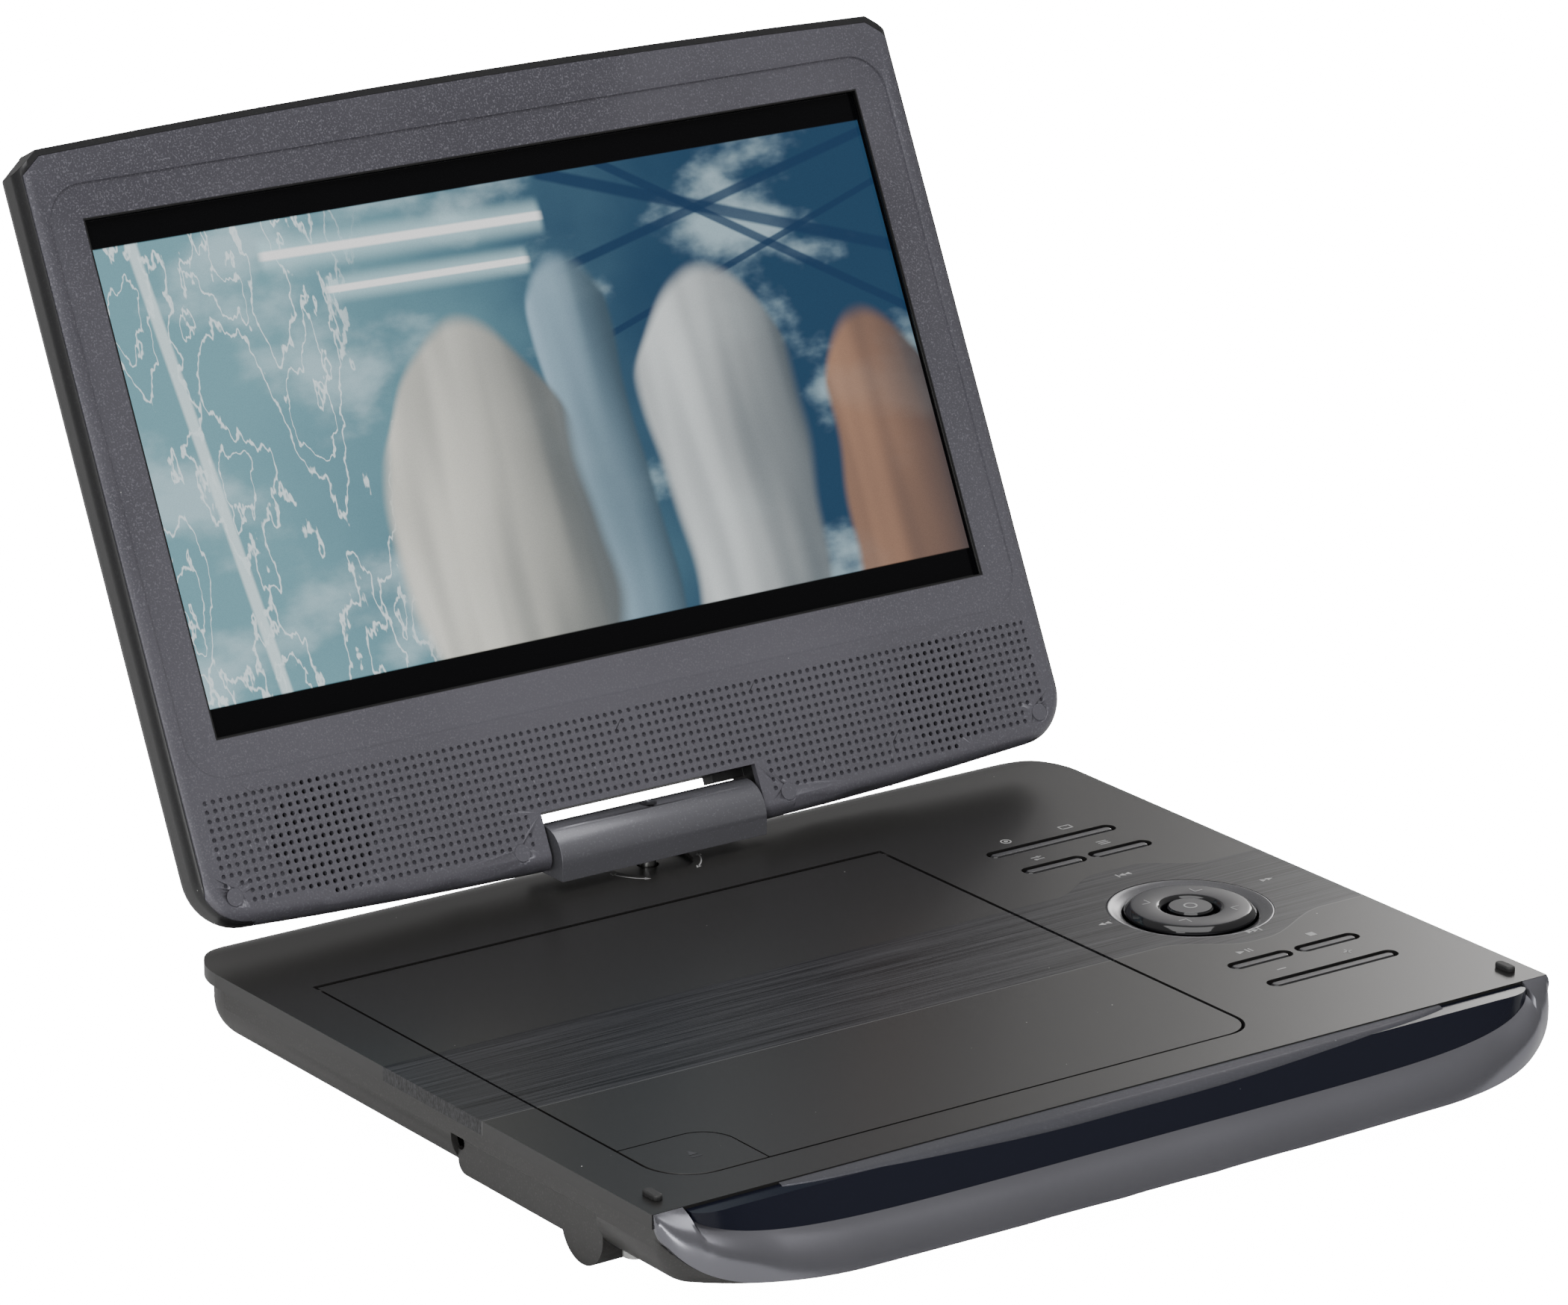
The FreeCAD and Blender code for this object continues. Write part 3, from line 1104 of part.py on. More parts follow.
def make_small_base_parts():
    """Feet, bumpers and screws."""
    feet = []
    for side in (-1, 1):
        feet.append(Part.makeCone(float(d.foot_radius) - 0.8, float(d.foot_radius), float(d.floor_level),
                                  V(side * 92.0, 84.0, 0), V(0, 0, 1)))
    foot_x = 95.0
    feet.append(Part.makeCone(float(d.foot_radius) - 0.8, float(d.foot_radius), float(d.floor_level),
                              V(foot_x, float(d.ridge_y), 0), V(0, 0, 1)))
    keep_shape("rubber_feet", Part.makeCompound(feet))
    bumpers = []
    for side in (-1, 1):
        x, y, z = side * 120.25, -80.4, float(d.top_level)
        pill = box(x - 1.25, y - 1.6, z, x + 1.25, y + 1.6, z + 1.35)
        for end in (-1, 1):
            pill = pill.fuse(rod(x, y + end * 1.6, z, 1.25, 1.35))
        pill = pill.removeSplitter()
        rims = [e for e in pill.Edges if e.BoundBox.ZMin > z + 1.3]
        bumpers.append(pill.makeFillet(0.5, rims))
    keep_shape("top_bumpers", Part.makeCompound(bumpers))
    screws = []
    for x, y in CASE_SCREWS:
        head = rod(x, y, float(d.floor_level) + 0.5, 2.7, 1.6)
        slot = box(x - 2.0, y - 0.3, 0, x + 2.0, y + 0.3, float(d.floor_level) + 1.3)
        slot = slot.fuse(box(x - 0.3, y - 2.0, 0, x + 0.3, y + 2.0, float(d.floor_level) + 1.3))
        screws.append(head.fuse(rod(x, y, float(d.floor_level) + 2.0, 1.3, 12.0)).cut(slot))
    keep_shape("case_screws", Part.makeCompound(screws))


def small_screw(x, y, seat, direction):
    """A short pan-head screw with a cross slot; it points along Z away from its head."""
    head = rod(x, y, seat, 1.9, 1.0, (0, 0, -direction))
    shank = rod(x, y, seat, SCREW_SHANK, 2.6, (0, 0, direction))
    top = seat - direction
    slot = box(x - 1.3, y - 0.25, top - 0.5, x + 1.3, y + 0.25, top + 0.5)
    slot = slot.fuse(box(x - 0.25, y - 1.3, top - 0.5, x + 0.25, y + 1.3, top + 0.5))
    return head.fuse(shank).cut(slot)


def make_inner_screws():
    """The identical screws that hold the deck and the two boards."""
    screws = [small_screw(x, y, DECK_SCREW_SEAT, -1) for x, y in DECK_SCREWS]
    screws += [small_screw(x, y, MAIN_BOARD_TOP, -1) for x, y in MAIN_BOARD_SCREWS]
    screws += [small_screw(x, y, float(d.board_level), 1) for x, y in KEY_BOARD_SCREWS]
    keep_shape("inner_screws", Part.makeCompound(screws))


# ---------------------------------------------------------------- swivel and hinge block
def make_swivel_bracket():
    """Steel plate under the top case that the post turns in."""
    y, level = float(d.post_y), 17.5
    plate = box(-22.0, y - 10.5, level, 22.0, y + 9.0, level + 2.0)
    ceiling = float(d.top_level - d.top_skin)
    for x in (-17.0, 17.0):
        for side in (-5.0, 5.0):
            plate = plate.fuse(rod(x, y + side, level, 2.4, ceiling - level))
    bore = rod(0, y, 0, float(d.post_radius + d.running_gap), 40)
    keep_shape("swivel_bracket", plate.cut(bore).removeSplitter())


def make_swivel_post():
    """Post with a collar above and a flange below the bracket, and a head plate in the block."""
    y = float(d.post_y)
    post = rod(0, y, 15.8, d.post_radius, 13.0)
    flange = rod(0, y, 15.8, 5.0, 1.65)
    collar = rod(0, y, 19.55, 4.2, 1.4)
    head = box(-9.0, y - 3.8, 27.8, 9.0, y + 3.8, 29.0)
    keep_shape("swivel_post", post.fuse(flange).fuse(collar).fuse(head).removeSplitter())


def block_section(inset):
    """Side view of the hinge block: round about the tilt axis, square at its front foot."""
    radius = float(d.block_radius) - inset
    y, z, low = float(d.axis_y), float(d.axis_z), float(d.block_floor) + inset
    reach = math.sqrt(radius ** 2 - (z - low) ** 2)
    front_foot, rear_foot, front = V(0, y - radius, low), V(0, y + reach, low), V(0, y - radius, z)
    edges = [Part.LineSegment(front_foot, rear_foot).toShape(),
             Part.Arc(rear_foot, V(0, y, z + radius), front).toShape(),
             Part.LineSegment(front, front_foot).toShape()]
    return Part.Face(Part.Wire(edges))


def block_solid(inset):
    half = float(d.block_half) - inset
    face = block_section(inset)
    face.translate(V(-half, 0, 0))
    return face.extrude(V(2 * half, 0, 0))


def make_hinge_block():
    """The block's front and rear shells, parted in the plane of the tilt axis."""
    y, z = float(d.axis_y), float(d.axis_z)
    shell = block_solid(0).cut(block_solid(float(d.block_skin)))
    shell = shell.cut(rod(0, y, 0, float(d.post_radius) + 0.05, 40))
    shell = shell.cut(rod(-50, y, z, float(d.pin_radius) + 0.05, 100, (1, 0, 0)))
    keep_shape("hinge_block_front", shell.common(box(-50, y - 20, 0, 50, y, 60)))
    keep_shape("hinge_block_rear", shell.common(box(-50, y, 0, 50, y + 20, 60)))


SHAFT_END = 35.3


def make_tilt_shafts():
    y, z = float(d.axis_y), float(d.axis_z)
    length = SHAFT_END - 20.0
    shafts = [rod(x, y, z, d.pin_radius, length, (1, 0, 0)) for x in (-SHAFT_END, 20.0)]
    keep_shape("tilt_shafts", Part.makeCompound(shafts))


def make_friction_barrels():
    """Barrels in the block that grip the shafts, each on a saddle."""
    y, z = float(d.axis_y), float(d.axis_z)
    floor = float(d.block_floor + d.block_skin)
    barrels = []
    for x in (-27.0, 14.0):
        barrel = rod(x, y, z, 2.7, 13.0, (1, 0, 0))
        saddle = box(x + 1.0, y - 2.4, floor, x + 12.0, y + 2.4, z)
        shaft = rod(-27.1 if x < 0 else 20.0, y, z, d.pin_radius, 7.1, (1, 0, 0))
        barrels.append(barrel.fuse(saddle).cut(shaft))
    keep_shape("friction_barrels", Part.makeCompound(barrels))


# ---------------------------------------------------------------- screen half, drawn upright
LID_BOW = 1767.0
LID_FRONT, LID_REAR = -5.6, 5.6
INNER_FRONT, INNER_REAR = -4.0, 4.0
LID_BOTTOM_SKIN = 1.0
BEZEL_WRAP = -1.5
PLUGS = ((-117.46, 6.85), (-38.95, 1.75), (38.95, 1.75), (117.46, 6.85))


def draw_lid_outline(sketch, inset, low_inset, notch_inset):
    """Front view of the screen half: bowed bottom with the hinge notch, cut top corners."""
    side = float(d.lid_half) - inset
    notch_x, notch_z = float(d.notch_half) + notch_inset, float(d.notch_top) + notch_inset
    middle = float(d.lid_low) + math.sqrt(LID_BOW ** 2 - float(d.notch_half) ** 2)
    bottom = (0.0, middle, LID_BOW - low_inset)
    corner = float(d.lid_corner) - inset
    centre = inside_centre(bottom, corner, side - corner, -1)
    foot = touch_point(bottom, centre)
    heel = (side, centre[1])
    turn = arc_middle(centre, corner, foot, heel)

    def bottom_z(x):
        return middle - math.sqrt(bottom[2] ** 2 - x ** 2)

    notch_foot = (notch_x, bottom_z(notch_x))
    half_way = ((notch_x + foot[0]) / 2, bottom_z((notch_x + foot[0]) / 2))
    wide, tall = float(d.chamfer_wide), float(d.chamfer_tall)
    slant = math.hypot(wide, tall)
    shoulder = (side, float(d.lid_shoulder) - tall - inset * (slant - tall) / wide)
    crown = (float(d.lid_half) - wide - inset * (slant - wide) / tall, float(d.lid_shoulder) - inset)
    draw_path(sketch, notch_foot, half_way + foot, turn + heel, shoulder, crown,
              (0.0, float(d.lid_tall) - inset) + mirrored(crown), mirrored(shoulder), mirrored(heel),
              mirrored(turn) + mirrored(foot), mirrored(half_way) + mirrored(notch_foot),
              (-notch_x, notch_z), (notch_x, notch_z))


def lid_slab(name, draw, front, rear):
    """A body between two depths of the upright screen half."""
    body = new_body(name)
    sketch = new_sketch(body, "XZ", -rear)
    draw(sketch)
    pad(body, sketch, rear - front)
    return body


def rear_edges(depth):
    """Edges of the rear face, leaving out the notch."""
    def test(edge):
        box_ = edge.BoundBox
        in_notch = box_.XMax < float(d.notch_half) + 2 and box_.XMin > -float(d.notch_half) - 2
        return abs(box_.YMin - depth) < 1e-3 and abs(box_.YMax - depth) < 1e-3 and not in_notch
    return test


def front_bottom_edges(edge):
    """The two long bowed edges at the front foot of the screen half."""
    box_ = edge.BoundBox
    at_front = abs(box_.YMin - LID_FRONT) < 1e-3 and abs(box_.YMax - LID_FRONT) < 1e-3
    return at_front and box_.ZMax < 1.5 and box_.XLength > 40


def lid_blanks():
    """Outer and inner solids of the screen half, as shapes."""
    outer = lid_slab("lid_outside", lambda s: draw_lid_outline(s, 0.0, 0.0, 0.0), LID_FRONT, LID_REAR)
    fillet(outer, rear_edges(LID_REAR), float(d.rear_round))
    fillet(outer, front_bottom_edges, 3.5)
    skin = float(d.lid_skin)
    inner = lid_slab("lid_inside", lambda s: draw_lid_outline(s, skin, LID_BOTTOM_SKIN, skin),
                     INNER_FRONT, INNER_REAR)
    fillet(inner, rear_edges(INNER_REAR), float(d.rear_round) - skin)
    doc.recompute()
    return outer, inner


def bezel_zone(gap):
    """The part of the screen half's skin that belongs to the bezel; the gap makes it larger."""
    border = float(d.border) - gap
    zone = lid_slab("bezel_zone", lambda s: draw_lid_outline(s, border, -3.0, -2.0), -10.0, INNER_FRONT + gap)
    doc.recompute()
    wrap = box(-113.0 - gap, -10.0, -10.0, 113.0 + gap, BEZEL_WRAP + gap, 2.0 + gap)
    shape = zone.Shape.fuse(wrap)
    pieces.remove(zone)
    zone.Label = "bezel_zone_blank"
    return shape


def rounded_slab(half, low, high, corner, front, rear):
    """A rounded rectangle of the upright screen half between two depths."""
    slab = box(-half, front, low, half, rear, high)
    uprights = [e for e in slab.Edges if e.BoundBox.YLength > rear - front - 1e-6]
    return slab.makeFillet(corner, uprights)


def speaker_holes():
    """The open holes of the grille in front of one speaker pair."""
    pitch, reach = float(d.hole_pitch), 8.9
    holes = []
    for side in (-1, 1):
        for col in range(-4, 5):
            for row in range(-4, 5):
                x = side * (float(d.speaker_x) + pitch * col)
                z = float(d.speaker_up) + pitch * row
                if math.hypot(pitch * col, pitch * row) < reach:
                    holes.append(rod(x, -7.0, z, d.hole_radius, 4.0, (0, 1, 0)))
    return Part.makeCompound(holes)


def keep_lid_piece(name, shape, *drop):
    """Keep a piece of the screen half and stand it at the rest angle."""
    feature = keep_shape(name, shape, *drop)
    feature.Placement = lid_placement()
    return feature


def make_lid_shells():
    """Bezel and rear cover, cut from one hollow blank along the border seam."""
    outer, inner = lid_blanks()
    shell = outer.Shape.cut(inner.Shape)
    bezel = shell.common(bezel_zone(0.0))
    rear = shell.cut(bezel_zone(0.05))
    for x, z in PLUGS:
        bezel = bezel.fuse(rod(x, INNER_FRONT - 0.5, z, 3.1, 3.3, (0, 1, 0)))
        bezel = bezel.cut(rod(x, -7, z, float(d.plug_radius) + 0.05, 4.4, (0, 1, 0)))
        bezel = bezel.cut(rod(x, -7, z, SCREW_SHANK + 0.1, 10, (0, 1, 0)))
        rear = rear.fuse(rod(x, -1.15, z, 2.5, INNER_REAR + 0.6 + 1.15, (0, 1, 0)))
        rear = rear.cut(rod(x, -2, z, SCREW_SHANK, 5, (0, 1, 0)))
    step = float(d.frame_step)
    bezel = bezel.cut(rounded_slab(float(d.frame_side), 34.2, 178.0, 10.0, -7.0, LID_FRONT + step))
    half = float(d.window_wide) / 2
    low = float(d.window_low)
    bezel = bezel.cut(box(-half, -8, low, half, 0, low + float(d.window_tall)))
    bezel = bezel.cut(speaker_holes())
    lug = box(22.0, 0.3, 8.2, 31.5, 4.6, 10.6).cut(rod(0, 0, 0, 8.1, 60, (1, 0, 0)))
    rear = rear.fuse(lug)
    shaft_room = rod(-36, 0, 0, 1.9, 72, (1, 0, 0))
    bezel = bezel.cut(shaft_room)
    rear = rear.cut(shaft_room)
    keep_lid_piece("lid_bezel", bezel.removeSplitter())
    keep_lid_piece("lid_rear_cover", rear.removeSplitter())
    for blank in (outer, inner):
        pieces.remove(blank)
        blank.Label = blank.Name + "_blank"


def make_lcd():
    """Display glass, its steel frame and the drive board behind it."""
    glass = box(-117.5, -3.3, 35.3, 117.5, -0.8, 178.3)
    keep_lid_piece("lcd_panel", glass)
    frame = box(-118.5, -0.8, 34.5, 118.5, 2.2, 179.1)
    frame = frame.cut(box(-117.0, 0.0, 36.0, 117.0, 1.4, 177.6))
    for x in (-78.0, 0.0, 78.0):
        for z in (70.0, 143.0):
            frame = frame.cut(rounded_slab(28.0, z - 22.0, z + 22.0, 6.0, 1.0, 3.0).translated(V(x, 0, 0)))
    keep_lid_piece("lcd_frame", frame)
    board = box(-46.0, 2.2, 92.0, 46.0, 3.2, 121.0)
    for x in (-30.0, -6.0, 18.0):
        board = board.fuse(box(x, 3.2, 98.0, x + 12.0, 3.9, 112.0))
    keep_lid_piece("lcd_board", board)


def make_speakers():
    """Round speakers: basket, shallow cone, dust cap and magnet."""
    speakers = []
    for side in (-1, 1):
        x, z = side * float(d.speaker_x), float(d.speaker_up)
        basket = rod(x, -4.0, z, d.speaker_radius, 2.6, (0, 1, 0))
        cone = Part.makeCone(float(d.speaker_radius) - 1.4, 5.0, 1.6, V(x, -4.0, z), V(0, 1, 0))
        magnet = rod(x, -1.4, z, 8.0, 5.2, (0, 1, 0))
        cap = Part.makeSphere(5.0, V(x, 1.4, z)).common(rod(x, -3.7, z, 4.0, 2.0, (0, 1, 0)))
        speakers.append(basket.cut(cone).fuse(magnet).fuse(cap))
    keep_lid_piece("speakers", Part.makeCompound(speakers))


def make_lid_fasteners():
    """Rubber plugs at the bezel's foot and the screws under them."""
    plugs, screws = [], []
    for x, z in PLUGS:
        plugs.append(rod(x, LID_FRONT - 0.05, z, d.plug_radius, 1.4, (0, 1, 0)))
        head = rod(x, -3.9, z, 1.9, 1.3, (0, 1, 0))
        screws.append(head.fuse(rod(x, -2.7, z, SCREW_SHANK, 5.0, (0, 1, 0))))
    keep_lid_piece("screw_plugs", Part.makeCompound(plugs))
    keep_lid_piece("lid_screws", Part.makeCompound(screws))


def make_lid_brackets():
    """Steel arms that join the shafts to the rear cover."""
    brackets = []
    for side in (-1, 1):
        near, far = side * 33.05, side * SHAFT_END
        x0, x1 = min(near, far), max(near, far)
        arm = rod(x0, 0, 0, 2.25, x1 - x0, (1, 0, 0)).fuse(box(x0, -1.5, 0, x1, 3.9, 24.0))
        foot_far = side * 50.0
        foot = box(min(near, foot_far), 2.5, 8.0, max(near, foot_far), 3.95, 24.0)
        bracket = arm.fuse(foot).cut(rod(x0 - 1, 0, 0, float(d.pin_radius + d.running_gap), 5, (1, 0, 0)))
        brackets.append(bracket)
    keep_lid_piece("lid_hinge_brackets", Part.makeCompound(brackets))


front_trim = make_front_trim()
grip_bar = make_grip_bar()
recess_panel = make_recess_panel(front_trim, grip_bar)
make_top_case()
make_base_lower_case(front_trim, grip_bar, recess_panel)
make_battery_cover()
make_battery_cells()
make_disc_deck()
make_loader_chassis()
make_loader_dampers()
make_guide_rods()
make_spindle_motor()
make_turntable()
make_pickup_sled()
make_pickup_lens()
make_lead_screw()
make_feed_motor()
make_disc_door()
make_door_pins()
make_open_button()
make_button_spring()
for key, x, y, length in KEYS:
    make_key(key, x, y, length, rocker=key == "volume_key")
make_dial_bezel()
make_nav_ring()
make_nav_gimbal()
make_ok_button()
make_key_board()
make_main_board()
make_ports()
make_jacks()
make_power_switch()
make_small_base_parts()
make_inner_screws()
make_swivel_bracket()
make_swivel_post()
make_hinge_block()
make_tilt_shafts()
make_friction_barrels()
make_lid_shells()
make_lcd()
make_speakers()
make_lid_fasteners()
make_lid_brackets()

doc.recompute()
for thing in doc.Objects:
    if "Invalid" in thing.State or "Error" in thing.State:
        raise RuntimeError("%s did not build: %s" % (thing.Label, thing.State))
for piece in pieces:
    if piece.Shape.isNull() or not piece.Shape.isValid():
        raise RuntimeError("%s has no sound shape" % piece.Label)
    piece.Shape.exportStep("parts/%s.step" % piece.Label)
print("%d pieces written" % len(pieces))
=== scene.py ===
import json
import math

import bmesh
import bpy
from mathutils import Matrix, Vector


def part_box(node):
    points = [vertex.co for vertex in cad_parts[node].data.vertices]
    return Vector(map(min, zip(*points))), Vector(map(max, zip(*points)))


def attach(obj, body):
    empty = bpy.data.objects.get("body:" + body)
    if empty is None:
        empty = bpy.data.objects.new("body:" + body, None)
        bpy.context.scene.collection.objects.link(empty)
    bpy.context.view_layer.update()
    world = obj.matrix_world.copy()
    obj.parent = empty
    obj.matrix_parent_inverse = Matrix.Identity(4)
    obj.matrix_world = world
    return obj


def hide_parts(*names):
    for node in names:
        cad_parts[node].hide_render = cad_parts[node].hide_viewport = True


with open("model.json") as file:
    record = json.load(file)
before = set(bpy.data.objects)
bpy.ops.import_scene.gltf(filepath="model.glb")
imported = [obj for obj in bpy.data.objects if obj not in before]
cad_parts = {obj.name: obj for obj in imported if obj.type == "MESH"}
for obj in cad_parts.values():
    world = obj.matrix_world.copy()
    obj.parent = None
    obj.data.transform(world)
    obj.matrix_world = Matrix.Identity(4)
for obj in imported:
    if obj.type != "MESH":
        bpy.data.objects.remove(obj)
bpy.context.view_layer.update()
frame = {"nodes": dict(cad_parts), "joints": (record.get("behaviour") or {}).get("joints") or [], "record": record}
NODES = frame["nodes"]
JOINTS = {joint["name"]: joint for joint in frame["joints"]}
MM = 0.001

# The screen half is drawn upright, in millimetres from the tilt axis, then leant back.
AXIS = Vector(JOINTS["screen_tilt"]["pos_m"])
LEAN = math.radians(-JOINTS["screen_tilt"]["range_deg"][0] - 90)
LEANT = Matrix.Translation(AXIS) @ Matrix.Rotation(-LEAN, 4, "X")
BEZEL_FACE = -5.6
WINDOW_HALF, WINDOW_LOW, WINDOW_HIGH = 111.35, 43.85, 169.15
PICTURE_LOW, PICTURE_HIGH = 51.0, 162.0

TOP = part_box("base_top_case")[1].z / MM
DIAL = (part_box("nav_ring")[0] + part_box("nav_ring")[1]) / 2 / MM


# ---------------------------------------------------------------- material graphs
class Graph:
    """One material's nodes.  Sockets and plain numbers mix freely in its functions."""

    def __init__(self, name):
        self.material = bpy.data.materials.new(name)
        self.material.use_nodes = True
        self.nodes = self.material.node_tree.nodes
        self.links = self.material.node_tree.links
        self.surface = self.nodes["Principled BSDF"]
        place = self.nodes.new("ShaderNodeTexCoord").outputs["Object"]
        self.place = self.vector("MULTIPLY", place, (1000.0, 1000.0, 1000.0))
        self.x, self.y, self.z = self.split(self.place)

    def feed(self, socket, value):
        """Link or set one input."""
        if isinstance(value, bpy.types.NodeSocket):
            self.links.new(value, socket)
        elif socket.type == "RGBA" and len(value) == 3:
            socket.default_value = (*value, 1.0)
        else:
            socket.default_value = value

    def set(self, **values):
        """Feed the surface's inputs, named with underscores for spaces."""
        for name, value in values.items():
            self.feed(self.surface.inputs[name.replace("_", " ")], value)
        return self.material

    def math(self, operation, a, b=0.0, c=0.0):
        node = self.nodes.new("ShaderNodeMath")
        node.operation = operation
        for socket, value in zip(node.inputs, (a, b, c)):
            self.feed(socket, value)
        return node.outputs[0]

    def vector(self, operation, a, b):
        node = self.nodes.new("ShaderNodeVectorMath")
        node.operation = operation
        self.feed(node.inputs[0], a)
        self.feed(node.inputs[1], b)
        return node.outputs[0]

    def split(self, vector):
        node = self.nodes.new("ShaderNodeSeparateXYZ")
        self.feed(node.inputs[0], vector)
        return node.outputs[0], node.outputs[1], node.outputs[2]

    def join(self, x, y, z=0.0):
        node = self.nodes.new("ShaderNodeCombineXYZ")
        for socket, value in zip(node.inputs, (x, y, z)):
            self.feed(socket, value)
        return node.outputs[0]

    def step(self, value, low, high, start=0.0, end=1.0):
        """A smooth step from start to end as the value goes from low to high."""
        node = self.nodes.new("ShaderNodeMapRange")
        node.interpolation_type = "SMOOTHSTEP"
        for socket, number in zip(node.inputs, (value, low, high, start, end)):
            self.feed(socket, number)
        return node.outputs[0]

    def mix(self, a, b, share):
        """Colour a to colour b."""
        node = self.nodes.new("ShaderNodeMix")
        node.data_type = "RGBA"
        self.feed(node.inputs["Factor"], share)
        self.feed(node.inputs[6], a)
        self.feed(node.inputs[7], b)
        return node.outputs[2]

    def between(self, a, b, share):
        """Number a to number b."""
        return self.math("ADD", self.math("MULTIPLY", share, self.math("SUBTRACT", b, a)), a)

    def noise(self, per_mm, detail=2.0, stretch=(1.0, 1.0, 1.0), where=None):
        node = self.nodes.new("ShaderNodeTexNoise")
        node.inputs["Scale"].default_value = 1.0
        node.inputs["Detail"].default_value = detail
        scale = tuple(per_mm * s for s in stretch)
        self.feed(node.inputs["Vector"], self.vector("MULTIPLY", where or self.place, scale))
        return node.outputs[0]

    def cells(self, per_mm, where=None):
        """Distance to the nearest cell point, and that cell's random colour."""
        node = self.nodes.new("ShaderNodeTexVoronoi")
        node.inputs["Scale"].default_value = 1.0
        scaled = self.vector("MULTIPLY", where or self.place, (per_mm,) * 3)
        self.feed(node.inputs["Vector"], scaled)
        return node.outputs["Distance"], node.outputs["Color"]

    def bump(self, height, strength, distance=0.0001):
        node = self.nodes.new("ShaderNodeBump")
        node.inputs["Strength"].default_value = strength
        node.inputs["Distance"].default_value = distance
        self.feed(node.inputs["Height"], height)
        return node.outputs[0]

    def dust(self, per_mm=0.35, share=0.06):
        """Sparse pale specks, as a mask."""
        distance, color = self.cells(per_mm)
        chosen = self.math("LESS_THAN", self.split(color)[0], share)
        size = self.math("MULTIPLY", self.split(color)[1], 0.07)
        return self.math("MULTIPLY", chosen, self.math("LESS_THAN", distance, size))


def moulded(name, color, rough=0.42, speckle=0.0, grain=0.12, dusty=0.05, metal=0.0, coat=0.0):
    """Satin plastic or paint: fine grain, optional metallic speckle, uneven sheen, dust."""
    g = Graph(name)
    fine = g.noise(2.6, 3.0)
    glitter = g.step(g.noise(1.9, 1.0), 0.58, 0.72)
    cloud = g.noise(0.02, 2.0)
    lighter = tuple(min(1.0, c * 2.1 + 0.02) for c in color)
    tone = g.mix(color, lighter, g.math("MULTIPLY", glitter, speckle))
    tone = g.mix(tone, tuple(c * 1.18 for c in color), g.step(cloud, 0.4, 0.7, 0.0, 0.35))
    dust = g.dust(share=dusty)
    tone = g.mix(tone, (0.35, 0.35, 0.34), dust)
    sheen = g.between(rough - 0.04, rough + 0.05, cloud)
    g.set(Base_Color=tone, Roughness=g.math("ADD", sheen, g.math("MULTIPLY", dust, 0.3)),
          Metallic=metal, Coat_Weight=coat, Coat_Roughness=0.08, Normal=g.bump(fine, grain))
    return g.material


def band_mask(g):
    """The brushed band: straight across the door, swelling round the dial."""
    rise = g.math("MULTIPLY", g.step(g.x, 64.0, 83.0), g.step(g.x, 94.0, 110.0, 1.0, 0.0))
    dip = g.math("MULTIPLY", g.step(g.x, 64.0, 84.0), g.step(g.x, 88.0, 113.0, 1.0, 0.0))
    upper = g.math("SUBTRACT", g.math("ADD", g.math("MULTIPLY", rise, 8.4), 17.4), g.y)
    lower = g.math("ADD", g.math("ADD", g.y, 22.9), g.math("MULTIPLY", dip, 9.2))
    return g.math("MINIMUM", upper, lower)


def top_paint(name):
    """Dark satin paint of the base's top, with the brushed band across it."""
    g = Graph(name)
    depth = band_mask(g)
    inside = g.step(depth, -0.06, 0.06)
    line = g.step(g.math("ABSOLUTE", depth), 0.05, 0.28, 1.0, 0.0)
    front = g.math("LESS_THAN", g.y, -3.0)
    streak = g.noise(1.0, 4.0, (0.035, 5.0, 1.0))
    long_streak = g.noise(1.0, 2.0, (0.008, 1.3, 1.0))
    brushed = g.math("ADD", g.math("MULTIPLY", streak, 0.7), g.math("MULTIPLY", long_streak, 0.3))
    grain = g.noise(3.0, 2.0)
    paint = (0.016, 0.0155, 0.015)
    dark, pale = (0.003, 0.003, 0.0035), (0.040, 0.040, 0.044)
    metal_tone = g.mix(dark, pale, g.step(brushed, 0.36, 0.66))
    tone = g.mix(paint, metal_tone, inside)
    # The band's border line: a dark seam along its back edge, and a painted highlight in pale grey along its front
    # edge.
    edge = g.mix((0.008, 0.008, 0.009), (0.12, 0.12, 0.12), front)
    tone = g.mix(tone, edge, g.math("MULTIPLY", line, 0.6))
    dust = g.dust(share=0.07)
    tone = g.mix(tone, (0.45, 0.45, 0.43), dust)
    rough = g.between(0.34, g.between(0.26, 0.44, brushed), inside)
    height = g.between(g.math("MULTIPLY", grain, 0.35), g.math("MULTIPLY", brushed, 1.2), inside)
    g.set(Base_Color=tone, Roughness=g.math("ADD", rough, g.math("MULTIPLY", dust, 0.3)),
          Specular_IOR_Level=g.between(0.5, g.between(0.12, 0.5, brushed), inside),
          Normal=g.bump(height, 0.12, 0.00012))
    return g.material


def upright_place(g):
    """Across and up on the screen half, in millimetres from the tilt axis."""
    y = g.math("SUBTRACT", g.y, AXIS.y / MM)
    z = g.math("SUBTRACT", g.z, AXIS.z / MM)
    up = g.math("ADD", g.math("MULTIPLY", y, math.sin(LEAN)), g.math("MULTIPLY", z, math.cos(LEAN)))
    return g.x, up


def gloss(name, color, rough=0.12, dusty=0.06, shine=0.5):
    """Polished plastic with faint haze and dust."""
    g = Graph(name)
    haze = g.noise(0.05, 3.0)
    dust = g.dust(share=dusty)
    g.set(Base_Color=g.mix(color, (0.3, 0.3, 0.3), dust), Roughness=g.between(rough, rough + 0.1, haze),
          Specular_IOR_Level=shine, Normal=g.bump(g.noise(0.9, 1.0), 0.02))
    return g.material


